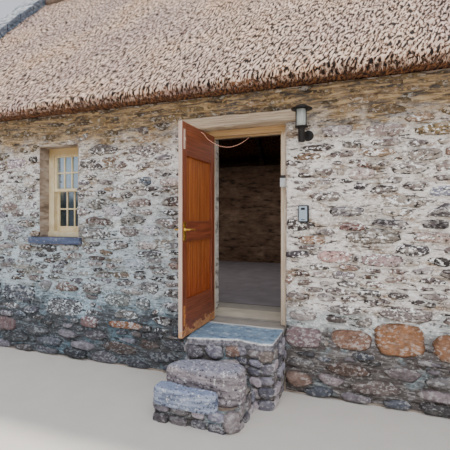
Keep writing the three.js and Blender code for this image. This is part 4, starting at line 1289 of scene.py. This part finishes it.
def leafWood():
    # Oiled softwood, reddish: paler on the edge that meets the frame, and scuffed near the foot
    f, body, grain = sawnWood("leafWood", "#4c2416", "#7f4029", "#a05a36", 0.004, 0.3, 0.42)
    edge = f.between("Y", -0.6655, -0.667)
    body = f.add("mix", f.add("times", edge, f.add("ramp", grain, (0.3, 0.6), (0.6, 1.0))), body, "#d6bcac")
    splash = f.lumps((0.05, 0.09, 0.05), 3)
    scuff = f.add("times", f.between("Z", 0.665, 0.65, splash, 0.17),
                  f.add("ramp", splash, (0.36, 0.4), (0.5, 0.85)))
    return f.finish(f.add("mix", scuff, body, "#cd945c"), grain, 0.001)


def boardWood():
    # Oiled softwood boards, golden where the rain can't reach and redder towards the foot
    f, body, grain = sawnWood("boardWood", "#703818", "#9f5628", "#bf783e", 0.005, 0.4, 0.38)
    low = f.add("tint", 1.0, body, "#f2cdb8")
    return f.finish(f.add("mix", f.between("Z", 1.4, 0.9, grain, 0.3), body, low), grain, 0.001)


def castBrass():
    # Cast brass, polished by hands and dull in its corners
    f = Finish("brass", 0.3, 1.0)
    stain = f.lumps(0.02, 5)
    body = f.add("ramp", stain, (0.3, "#a87a2c"), (0.5, "#dcb04a"), (0.7, "#f0d27c"))
    return f.finish(body, stain, 0.0005, 0.5, f.add("ramp", stain, (0.3, 0.5), (0.7, 0.22)))


def blackIron(name, dark, light, rough=0.5):
    # Iron under thin black paint: grey where it is rubbed
    f = Finish(name, rough, 0.7)
    rub = f.lumps(0.015, 5, 0.7)
    return f.finish(f.add("ramp", rub, (0.35, dark), (0.62, dark), (0.72, light)), rub, 0.0006)


def makeBeam(finish):
    # one block, worn and hollowed by soft noise
    beam = Pile(50)
    beam.box(lintelLow - (0, 0.028, 0), lintelHigh, 0.014, (60, 8, 6), 2, 0.007, 0.13)
    beam.make("weathered_lintel", finish, "weathered_timber", replaces=("door_lintel",))


def makeDoorFrame(look, finish):
    # jambs and a head, each with a stop that the leaf shuts against, and the staple for the cord
    low, high = limits("door_frame")
    rebate, edge = low[1] + 0.046, look["edge"]
    half, stop = look["frameHalf"]
    rebateTop, stopTop = (level + z for z in look["frameHead"])
    pile = Pile(51)
    for side in (-1, 1):
        outer = sorted([side * high[0], side * half])
        inner = sorted([side * half, side * stop])
        pile.box((outer[0], low[1], low[2]), (outer[1], high[1], rebateTop), edge)
        pile.box((inner[0], rebate, low[2]), (inner[1], high[1], stopTop), edge)
    pile.box((low[0], low[1], rebateTop), high, edge)
    pile.box((-half, rebate, stopTop), (half, high[1], rebateTop), edge)
    bent = (0.158, 0), (0.158, 0.008), (0.174, 0.008), (0.174, 0)
    staple = [(0.020, y, stopTop - drop) for y, drop in bent]
    pile.add(*tube(easedPath(staple, 12), 0.0016, 8))
    pile.make("door_frame_joinery", finish, "door_frame_paint", replaces=("door_frame",))


def makeLeaf(look, frameFinish, boardFinish):
    # two stiles and three rails round upright boards, with pegs at each joint
    low, high = limits("door_frame_and_rails")
    boardLow, boardHigh = limits("door_boards")
    edge, peg = look["edge"], look["peg"]
    pile = Pile(52)
    pile.box(low, (high[0], boardLow[1], high[2]), edge, (1, 1, 24), 2)
    pile.box((low[0], boardHigh[1], low[2]), high, edge, (1, 1, 24), 2)
    pile.box((low[0], boardLow[1], boardHigh[2]), (high[0], boardHigh[1], high[2]), edge, edge=2)
    lock = [level + z for z in look["lockRail"]]
    rails = [lock, (low[2], level + look["bottomRail"])]
    for bottom, top in rails:
        pile.box((boardHigh[0] + 0.0005, boardLow[1], bottom), (high[0], boardHigh[1], top), edge, edge=2)
    profile = [(0, 0), (peg, 0), (peg, 0.001), (peg * 0.7, 0.0018), (0, 0.002)]
    for bottom, top in [*rails, (boardHigh[2], high[2])]:
        for z in (bottom * 0.72 + top * 0.28, bottom * 0.28 + top * 0.72):
            for y in (boardLow[1] - 0.03, boardHigh[1] + 0.03):
                pile.turn(profile, 10, (high[0], y, z), (1, 0, 0))
    pile.make("leaf_frame", frameFinish, "door_wood", "door", ("door_frame_and_rails",))
    boards = Pile(53)
    ends = np.linspace(boardLow[1] + 0.0006, boardHigh[1] - 0.0006, look["boards"] + 1)
    for start, end in zip(ends[:-1], ends[1:]):
        boards.box((boardLow[0], start + 0.0004, boardLow[2]),
                   (boardHigh[0], end - 0.0004, boardHigh[2] - 0.0005), look["boardEdge"], (1, 2, 30))
    boards.make("leaf_boards", boardFinish, "door_board_wood", "door", ("door_boards",))


def makeHandles(look, finish):
    # on each face a plate with a rose, a keyhole and screws, and a lever that swells towards its end
    low, high = limits("door_handles")
    leafLow, leafHigh = limits("door_frame_and_rails")
    thick, half = look["plate"]
    radius, up = look["lever"]
    y, z = low[1] + half, low[2] + up
    rose = [(0, 0), (0.019, 0), (0.019, 0.003), (0.014, 0.007), (0.0095, 0.011), (0.0085, 0.046), (0, 0.046)]
    collar = [(0, 0), (0.0095, 0), (0.0085, 0.0018), (0, 0.0018)]
    leverPath = [(0, -0.012, 0), (0, 0.012, 0.001), (0.002, 0.05, 0.001), (0, 0.09, -0.004),
                 (-0.004, 0.112, -0.010)]
    swell = np.interp(np.linspace(0, 1, 27), [0, 0.15, 0.5, 0.85, 0.97, 1], [0.3, 1, 0.68, 0.9, 0.75, 0.3])
    pile, holes = Pile(54), Pile(55)
    for face, out in ((leafHigh[0], 1), (leafLow[0], -1)):
        x = sorted([face, face + out * thick])
        pile.box((x[0], y - half, low[2]), (x[1], y + half, high[2]), 0.0022, (1, 4, 12), 2)
        front, ahead = face + out * (thick - 0.0003), (out, 0, 0)
        pile.turn(rose, 24, (front, y, z), ahead)
        path = np.array(leverPath) * (out, 1, 1) + (face + out * look["leverOut"], y, z)
        pile.add(*tube(easedPath(path, 26), (radius * swell)[:, None], 14, (0, 0, 1)))
        for dz in look["screwsAt"]:
            pile.turn(screw, 12, (front, y, z + dz), ahead)
        pile.turn(collar, 18, (front, y, z - look["keyhole"]), ahead)
        eye = sorted([front, front + out * 0.0026])
        holes.box((eye[0], y - 0.0016, z - 0.064), (eye[1], y + 0.0016, z - 0.050), 0.0008)
    pile.make("brass_handles", finish, "brass", "door", ("door_handles",))
    holes.make("keyholes", blackIron("keyholeShade", "#15110d", "#2a221a"), "brass", "door")


def wornPlate(name, dark, light):
    # Thin plate whose coating has gone dull
    f = Finish(name, 0.5, 0.4)
    stain = f.lumps(0.015, 4)
    return f.finish(f.add("ramp", stain, (0.3, dark), (0.7, light)), stain, 0.0004, 0.5)


def makeBolt(name, finish):
    # a plate with screws, and a thumb slide with a knurled back
    low, high = limits(name)
    face = low[0] + 0.004
    middle, z = (low[1] + high[1]) / 2, (low[2] + high[2]) / 2
    pile = Pile(56)
    pile.box(low, (face, high[1], high[2]), 0.0012, edge=2)
    ridge = 0.0048
    for step in range(5):
        foot = z - 0.012 + step * ridge
        pile.box((face - 0.0005, middle - 0.006, foot),
                 (high[0] - 0.002 * (step % 2), middle + 0.006, foot + ridge), 0.001)
    for dz in (-0.075, -0.04, 0.04, 0.075):
        pile.turn([(0, 0), (0.0036, 0), (0.003, 0.001), (0, 0.0013)], 12, (face, middle, z + dz), (1, 0, 0))
    pile.make(name + "_fitting", finish, "brass", "door", (name,))


makeBeam(weatheredBeam())
makeDoorFrame(doorLook, framePaint())
makeLeaf(doorLook, leafWood(), boardWood())
brassFinish = castBrass()
makeHandles(doorLook, brassFinish)
makeBolt("flush_bolt_top", wornPlate("paleBolt", "#d8bfae", "#f0dccc"))
makeBolt("flush_bolt_bottom", wornPlate("goldenBolt", "#b0703a", "#d89a5e"))
ironFinish = blackIron("hingeIron", "#3a3632", "#6e6860")
print("doorway is dressed")


# Lantern, key safe and bell box

fittingLook = {
    "lanternMetal": ("#2c2a29", "#5c5852"),
    "safeBody": "#2b2d31",
    "safePlate": "#9fb0bd",
    "bellBody": "#c3c6c6",
}


def paintedMetal(name, colour, worn, rough=0.45):
    # Powder paint on a casting: even, with a fine orange-peel surface and dust in its hollows
    f = Finish(name, rough)
    body = f.spots(colour, f.lumps(0.03, 4), (0.5, 0.0), (0.7, 0.5), worn)
    return f.finish(body, f.lumps(0.004, 3), 0.0006)


def frostedGlass():
    # Frosted glass: milky, with rain marks down it
    f = Finish("frostedGlass", 0.35)
    streak = f.lumps((0.008, 0.008, 0.12), 4)
    f.shader.inputs["Transmission Weight"].default_value = 0.4
    return f.finish(f.add("ramp", streak, (0.3, "#a9b0ab"), (0.6, "#dfe3de")), streak, 0.0006)


def makeLantern(look):
    # a turned base and cap on three rods, carried by an arm from a round plate on the wall
    low, high = limits("lantern")
    x, base = (low[0] + high[0]) / 2, low[2]
    y = low[1] + (high[0] - low[0]) / 2
    bottom = [(0, 0), (0.024, 0), (0.03, 0.004), (0.031, 0.012), (0.031, 0.118), (0.034, 0.121),
              (0.036, 0.128), (0.056, 0.132), (0.0595, 0.135), (0.0595, 0.142), (0.052, 0.1455), (0, 0.1455)]
    cap = [(0, 0.301), (0.094, 0.301), (0.098, 0.304), (0.098, 0.308), (0.092, 0.3115), (0.06, 0.314),
           (0.057, 0.318), (0.0565, 0.331), (0.052, 0.3355), (0, 0.3355)]
    plate = [(0, 0), (0.05, 0), (0.05, 0.028), (0.046, 0.0325), (0.033, 0.0345), (0, 0.0345)]
    foot = [(0, 0), (0.008, 0), (0.008, 0.003), (0.005, 0.005), (0, 0.005)]
    pile = Pile(60)
    pile.turn(bottom, 36, (x, y, base))
    pile.turn(cap, 48, (x, y, base))
    pile.turn(plate, 36, (x + 0.044, 0, base + 0.075), (0, -1, 0))
    arm = [(x + 0.044, -0.03, base + 0.075), (x + 0.03, -0.05, base + 0.075), (x, y + 0.01, base + 0.08)]
    pile.add(*tube(easedPath(arm, 8), 0.010, 16, (1, 0, 0)))
    for turn in math.pi / 2 + circle(3):
        side = (x + 0.054 * math.cos(turn), y + 0.054 * math.sin(turn))
        rod = np.array([(*side, base + h) for h in (0.14, 0.22, 0.304)])
        pile.add(*tube(rod, 0.004, 10, (0, 1, 0)))
        pile.turn(foot, 12, rod[0] + (0, 0, 0.004))
    pile.make("lantern_metal", blackIron("lanternMetal", *look["lanternMetal"]), "black_metal",
              replaces=("lantern",))
    glass = Pile(61)
    low, high = limits("lantern_glass")
    tall = high[2] - low[2]
    glass.turn([(0, 0.001), (0.0455, 0.001), (0.048, 0.003), (0.048, tall - 0.003), (0.0455, tall - 0.001),
                (0, tall - 0.001)], 36, (x, y, low[2]))
    glass.make("lantern_lamp_glass", frostedGlass(), "frosted_glass", replaces=("lantern_glass",))


def makeKeySafe(look):
    # a rounded body, a paler plate on its front, and two dark slots in the plate
    (x0, y0, z0), high = limits("key_safe")
    x1, _, z1 = high
    front = y0 + 0.008
    body, plate, dark = Pile(62), Pile(63), Pile(64)
    body.box((x0, front, z0), high, 0.011, edge=4)
    plate.box((x0 + 0.008, y0, z0 + 0.008), (x1 - 0.014, front + 0.004, z1 - 0.01), 0.004, edge=3)
    dark.box((x0 + 0.028, y0 - 0.001, z1 - 0.045), (x1 - 0.034, y0 + 0.003, z1 - 0.022), 0.0018, edge=2)
    dark.box((x0 + 0.03, y0 - 0.001, z0 + 0.02), (x1 - 0.036, y0 + 0.003, z0 + 0.027), 0.0015, edge=2)
    shade = blackIron("safeShade", look["safeBody"], "#4b4f55")
    body.make("key_safe_body", shade, "black_metal", replaces=("key_safe",))
    dark.make("key_safe_slots", shade, "black_metal")
    plate.make("key_safe_plate", paintedMetal("safePlate", look["safePlate"], "#c6cdd2"), "grey_plastic")


def makeBellBox(look):
    # a box, a thin panel on its front, and a cap on top that is set back a little
    low, (x1, y1, z1) = limits("bell_box")
    x0, y0, z0 = low
    top = z1 - 0.029
    body, cap = Pile(65), Pile(66)
    body.box(low, (x1, y1, top), 0.006, edge=3)
    body.box((x0 + 0.012, y0 - 0.001, z0 + 0.014), (x1 - 0.012, y0 + 0.003, top - 0.014), 0.0018)
    cap.box((x0 + 0.004, y0 + 0.008, top), (x1 - 0.004, y1, z1), 0.006, edge=3)
    body.make("bell_box_body", paintedMetal("bellBody", look["bellBody"], "#8f9292"), "grey_plastic",
              replaces=("bell_box",))
    cap.make("bell_box_cap", paintedMetal("bellCap", "#22201f", "#4a4643"), "black_metal")


makeLantern(fittingLook)
makeKeySafe(fittingLook)
makeBellBox(fittingLook)
print("fittings are on")


# Copings, kneelers and the chimney's cap: rough slabs of slate bedded on the gables

copingLook = {
    "long": 0.34,        # mean length of a slab, measured level
    "thick": 0.13,       # upright
    "edge": 0.022,
    "wear": 0.010,
    "shift": 0.007,
    "corbels": [(2.595, 2.70, 0.165), (2.70, 2.84, 0.262), (2.84, 3.062, 0.285)],   # low, high, reach
}


def copingStone():
    # Flat slabs of grey slate along the gables: dark blue where they are split, crusted white on top, the
    # white being lichen and also a painted highlight of the lit tops
    f = Finish("copingStone", 0.85)
    body = f.add("ramp", f.lumps((0.1, 0.1, 0.05), 6), (0.35, "#3b4a5b"), (0.5, "#5f6d7e"), (0.65, "#8a929c"))
    crust = f.add("ramp", f.lumps(0.07, 5, 0.65), (0.42, 0.0), (0.55, 0.9))
    # white only on faces that look up: lichen, and painted light on the tops
    crust = f.add("times", crust, f.add("ramp", f.upward(), (0.2, 0.15), (0.6, 1.0)))
    body = f.add("mix", crust, body, "#c6c6c8")
    body = f.spots(body, f.lumps(0.045, 3), (0.34, 0.7), (0.40, 0.0), "#2f3640")
    return f.finish(body, f.lumps(0.03, 5), 0.012)


def onSlope(points):
    # z, measured from the parapet's top, becomes z + the height of that top at y
    return points + (faceHeight(points[:, 1]) + parapetRise)[:, None] * (0, 0, 1)


def makeCoping(node, look, finish, seed):
    # slabs of uneven lengths up each slope, over a skirt of mortar that closes the joint to the thatch
    low, high = limits(node)
    side = math.copysign(1, low[0])
    skirt = sorted([side * (parapetX - 0.036), side * (parapetX + 0.012)])
    pile = Pile(seed)
    stops = sorted({low[1], high[1], float(np.clip(ridgeY, low[1], high[1]))})
    for start, end in zip(stops, stops[1:]):
        count = max(1, round((end - start) / look["long"]))
        cuts = np.linspace(start, end, count + 1)
        cuts[1:-1] += pile.random.uniform(-0.2, 0.2, count - 1) * look["long"]
        for a, b in zip(cuts, cuts[1:]):
            shift = pile.random.uniform(-1, 1, 3) * look["shift"]
            pile.box((low[0] + shift[0], a + 0.003, shift[1]),
                     (high[0] + shift[0], b - 0.003, look["thick"] + shift[2]),
                     look["edge"], (11, 8, 2), 2, look["wear"], 0.12)
            pile.box((skirt[0], a + 0.01, -0.11), (skirt[1], b - 0.01, 0.012),
                     0.008, (1, 8, 3), 1, 0.006, 0.09)
    pile.make(node + "_slabs", finish, "coping_stone", replaces=(node,), move=onSlope)


def makeKneelers(look, finish):
    # stepped blocks that carry the copings out over the eaves, one stack at each corner
    pile = Pile(75)
    for side in (-1, 1):
        ends = sorted([side * (parapetX - 0.012), side * (halfLength + 0.018)])
        for bottom, top, reach in look["corbels"]:
            for near, far in ((-reach, 0.12), (depth - 0.12, depth + reach)):
                pile.box((ends[0], near, bottom + 0.003), (ends[1], far, top - 0.003),
                         0.02, (10, 7, 3), 2, 0.009, 0.1)
    pile.make("kneelers", finish, "coping_stone")


def makeChimneyCap(finish):
    # four slabs laid round the flue
    low, high = stackLow - (0.012, 0.012, 0), stackHigh + (0.012, 0.012, 0.008)
    middle = np.array([(parapetX + halfLength) / 2, ridgeY])
    (x0, y0), (x1, y1) = middle - (0.113, 0.225), middle + (0.113, 0.225)
    pile = Pile(76)
    for a, b, c, d in ((low[0], low[1], x0, high[1]), (x1, low[1], high[0], high[1]),
                       (x0, low[1], x1, y0), (x0, y1, x1, high[1])):
        pile.box((a + 0.002, b + 0.002, stackTop - 0.003), (c - 0.002, d - 0.002, high[2]),
                 0.014, (5, 9, 3), 2, 0.006, 0.1)
    pile.make("chimney_cap", finish, "coping_stone")


copingFinish = copingStone()
for number, name in enumerate(("left_coping", "right_coping_front", "right_coping_back")):
    makeCoping(name, copingLook, copingFinish, 70 + number)
makeKneelers(copingLook, copingFinish)
makeChimneyCap(copingFinish)
print("gables are capped")


# Door slab and steps: plates of natural stone, worn at the edges

slabLook = {
    "plan": [(-0.45, 0.2), (-0.45, 0), (-0.41, 0), (-0.335, -0.57), (0.115, -0.455), (0.345, -0.51),
             (0.44, -0.48), (0.44, 0), (0.45, 0), (0.45, 0.2)],
    "centre": (0, 0.05),
    "cut": 0,            # times the corners are cut off
    "ease": 0.014,       # roundness of the upper edge
    "wear": 0.010,       # depth of the worn hollows
    "layer": 0.02,       # spacing of the rings up its side
}
upperStepLook = {
    "plan": [(-0.425, -0.85), (-0.06, -0.905), (0.19, -0.88), (0.29, -0.78), (0.27, -0.64), (0.18, -0.56),
             (-0.18, -0.585), (-0.40, -0.72)],
    "centre": (-0.05, -0.73),
    "cut": 1,
    "ease": 0.07,
    "wear": 0.028,
    "layer": 0.016,
}
lowerStepLook = {
    "plan": [(-0.46, -1.0), (-0.18, -1.04), (0.06, -1.03), (0.12, -0.975), (0.13, -0.93), (-0.06, -0.915),
             (-0.43, -0.865)],
    "centre": (-0.15, -0.965),
    "cut": 1,
    "ease": 0.03,
    "wear": 0.018,
    "layer": 0.014,
}


def slabSlate():
    # Worn slate: teal grey where feet pass, pale along its broken edge, with cement behind it
    f = Finish("slabSlate", 0.6)
    cloud = f.lumps((0.25, 0.1, 0.1), 5, 0.6)
    body = f.add("ramp", cloud, (0.3, "#566e88"), (0.5, "#728fa8"), (0.7, "#8ba6ba"))
    body = f.spots(body, f.lumps(0.12, 5, 0.65), (0.56, 0.0), (0.66, 0.6), "#6f6458")
    fine = f.lumps(0.03, 4, 0.65)
    grit = f.lumps(0.06, 4, 0.65)
    body = f.spots(body, grit, (0.36, 0.8), (0.43, 0.0), "#3b4a60")
    body = f.spots(body, grit, (0.57, 0.0), (0.64, 0.7), "#b9c8d8")
    for start, end, wander, dark, light in ((0.006, 0.012, 0.006, (0.4, "#b9b7b8"), (0.55, "#e8e5e2")),
                                            (0.018, 0.028, 0.012, (0.4, "#57555c"), (0.6, "#97949a"))):
        body = f.add("mix", f.between("Z", level - start, level - end, fine, wander), body,
                     f.add("ramp", fine, dark, light))
    cement = f.add("ramp", cloud, (0.3, "#7a756f"), (0.7, "#969089"))
    body = f.add("mix", f.between("Y", -0.03, -0.015, cloud, 0.03), body, cement)
    line = f.band("Y", (-0.045, -0.03), (0.0, -0.015), cloud, 0.03)
    return f.finish(f.add("mix", line, body, "#d8d6d2"), fine, 0.004)


def fieldStone(name, dark, middle, light, top, speck):
    # Rough fieldstone: layers seen on edge, pale lichen specks, dark flecks that are painted shade in its
    # pits, and a bluer tint where it faces up that is painted sky light
    f = Finish(name, 0.85)
    body = f.add("ramp", f.lumps((0.2, 0.2, 0.03), 6, 0.65), (0.35, dark), (0.5, middle), (0.64, light))
    # bluer where it faces up: painted sky light
    body = f.spots(body, f.upward(), (0.45, 0.0), (0.9, 0.75), f.add("mix", f.lumps(0.1, 4), *top))
    pits = f.lumps(0.024, 3, 0.6)
    # dark flecks: painted shade in pits
    body = f.spots(body, pits, (0.36, 0.85), (0.42, 0.0), "#2f3036")
    body = f.spots(body, pits, (0.60, 0.0), (0.64, speck), "#f0edea")
    return f.finish(body, pits, 0.008)


def outlineRing(plan, cut, spacing):
    # the plan's corners cut off, then points at even steps round it
    plan = np.array(plan, float)
    for _ in range(cut):
        after = np.roll(plan, -1, axis=0)
        plan = np.stack([0.8 * plan + 0.2 * after, 0.2 * plan + 0.8 * after], 1).reshape(-1, 2)
    ring = np.concatenate([plan, plan[:1]])
    travel = travelAlong(ring)
    place = np.linspace(0, travel[-1], int(travel[-1] / spacing), endpoint=False)
    return np.stack([np.interp(place, travel, ring[:, i]) for i in (0, 1)], 1)


def makeSlab(node, look, finish, seed):
    # Rings of the outline climb the side and bend over a quarter circle, then draw in to the centre.
    # Wear only takes away: it moves points towards the centre and down, more along some layers.
    low, high = limits(node)
    ease, wear = look["ease"], look["wear"]
    ring = outlineRing(look["plan"], look["cut"], 0.014)
    away = ring - look["centre"]
    reach = np.linalg.norm(away, axis=1)[:, None]
    side = np.linspace(low[2], high[2] - ease, int((high[2] - low[2]) / look["layer"]) + 2)
    bend = np.linspace(0, math.pi / 2, 7)[1:]
    draw = np.linspace(1, 0, 14)[1:-1]
    scale = np.concatenate([[0.5], np.ones(len(side) + len(bend)), draw])
    inset = np.concatenate([[0], 0 * side, ease * (1 - np.cos(bend)), 0 * draw + ease])
    height = np.concatenate([[low[2]], side, high[2] - ease * (1 - np.sin(bend)), 0 * draw + high[2]])
    flat = away[None] * (1 - inset[:, None, None] / reach) * scale[:, None, None]
    points = np.concatenate([flat, np.broadcast_to(height[:, None, None], flat.shape[:2] + (1,))], -1)
    worn = ((0.5 + 0.5 * softNoise(points * (1, 1, 6), 0.16, seed)) * 0.6
            + 0.4 * np.abs(softNoise(points, 0.07, seed + 1)))
    points[..., :2] *= 1 - wear * worn[..., None] / reach * (scale == 1)[:, None, None]
    top = np.clip((points[..., 2:] - low[2]) / (high[2] - low[2]), 0, 1) ** 3
    points[..., 2:] -= wear * 0.5 * top * (0.5 + 0.5 * softNoise(points, 0.13, seed + 2)[..., None])
    centre = np.array([[0, 0, low[2]], [0, 0, points[-1, :, 2].mean()]])
    points = np.concatenate([centre[:1], points.reshape(-1, 3), centre[1:]]) + (*look["centre"], 0)
    meshObject(node + "_stone", points, poleFaces(len(scale), len(ring)), finish,
               replaces=(node,))


makeSlab("door_slab", slabLook, slabSlate(), 80)
upperFinish = fieldStone("upperStepStone", "#625a5c", "#8f8588", "#b3a8aa", ("#7d8396", "#9a9cac"), 0.7)
makeSlab("upper_step", upperStepLook, upperFinish, 83)
lowerFinish = fieldStone("lowerStepStone", "#5a6378", "#8b94aa", "#adb6c8", ("#7a88a8", "#8d9ab8"), 0.7)
makeSlab("lower_step", lowerStepLook, lowerFinish, 86)
print("slab and steps are down")


# Room: the pieces inside keep their shape and get their own finishes

def smokedTimber():
    # Roof timber blackened by turf smoke, with paler knots and rubbed arrises
    f = Finish("smokedTimber", 0.8)
    grain = f.lumps((0.5, 0.05, 0.05), 5, 0.6, warp=0.4)
    body = f.add("ramp", grain, (0.35, "#241a15"), (0.5, "#4a3a30"), (0.65, "#75604e"))
    return f.finish(body, grain, 0.006)


def roomFloor():
    # Cement floor, laid in bands: grey at the slab, a pale step inside the walls, then darker flags
    f = Finish("roomFloor", 0.75)
    cloud = f.lumps(0.3, 6, 0.6)
    shade = f.add("ramp", cloud, (0.3, 0.75), (0.7, 1.2))
    body = f.add("mix", f.between("Y", 0.255, 0.27), "#8f8a84", "#b3ac9c")
    body = f.add("mix", f.between("Y", 0.62, 0.64), body, "#8a8680")
    body = f.add("mix", f.between("Y", 0.89, 0.90), body, "#6d6a72")
    seam = f.band("Y", (0.88, 0.895), (0.925, 0.91))
    return f.finish(f.add("mix", seam, f.add("tint", 1.0, body, shade), "#3a3634"), cloud, 0.004)


refinish([f"couple_{number}" for number in range(1, 5)]
         + ["front_purlin", "back_purlin", "ridge_pole", "door_lintel_inside"], smokedTimber())
refinish(["floor"], roomFloor())
hinges = [f"{hinge}_hinge_on_{side}" for hinge in ("lower", "upper") for side in ("frame", "door")]
refinish(hinges, ironFinish)
print("room is finished")


# Stage

stageLook = {
    "sunFrom": (-0.30, 0.36, 0.88),
    "sunStrength": 4.6,
    "sunSpread": 5.0,    # degrees, for soft edges
    "sky": "#e2e6f0",
    "skyStrength": 1.0,
    "glowFrom": (0.25, -0.55, 0.80),
    "glowStrength": 1.5,
    "glowSpread": 50.0,
    "roomLight": 60.0,   # watts of soft light inside
    "floor": "#d8d2c8",
    "floorHalf": 30.0,
}


def makeLight(name, kind, energy, colour):
    data = bpy.data.lights.new(name, kind)
    data.energy = energy
    data.color = colour
    light = bpy.data.objects.new(name, data)
    bpy.context.collection.objects.link(light)
    return light, data


def makeSun(name, away, strength, spread, colour):
    # turned so that its light comes from the direction given
    sun, data = makeLight(name, "SUN", strength, colour)
    data.angle = math.radians(spread)
    sun.rotation_euler = (math.atan2(math.hypot(*away[:2]), away[2]), 0, math.atan2(away[0], -away[1]))


def makeStage(look):
    # an even sky, a sun, a broad glow on the front, a soft light in the room and a plain floor
    world = bpy.data.worlds.new("sky")
    world.use_nodes = True
    background = world.node_tree.nodes["Background"]
    background.inputs["Color"].default_value = linear(look["sky"])
    background.inputs["Strength"].default_value = look["skyStrength"]
    bpy.context.scene.world = world
    makeSun("sun", look["sunFrom"], look["sunStrength"], look["sunSpread"], (1.0, 0.95, 0.88))
    makeSun("skyGlow", look["glowFrom"], look["glowStrength"], look["glowSpread"], (0.94, 0.96, 1.0))
    room, data = makeLight("roomLight", "AREA", look["roomLight"], (1.0, 0.9, 0.82))
    data.shape = "RECTANGLE"
    data.size, data.size_y = 5.0, 2.5
    room.location = (-1.5, ridgeY, wallHead + 0.2)
    room.visible_camera = False
    f = Finish("paleFloor", 0.9)
    tone = f.add("ramp", f.lumps(0.3, 6), (0.3, "#d2ccc2"), (0.7, look["floor"]))
    corners = np.array(rectangle(-1, -1, 1, 1)) * look["floorHalf"]
    corners = np.concatenate([corners, np.full((4, 1), -0.001)], 1)
    meshObject("studio_floor", corners, np.array([(0, 1, 2, 3)]), f.finish(tone), body=None)


makeStage(stageLook)
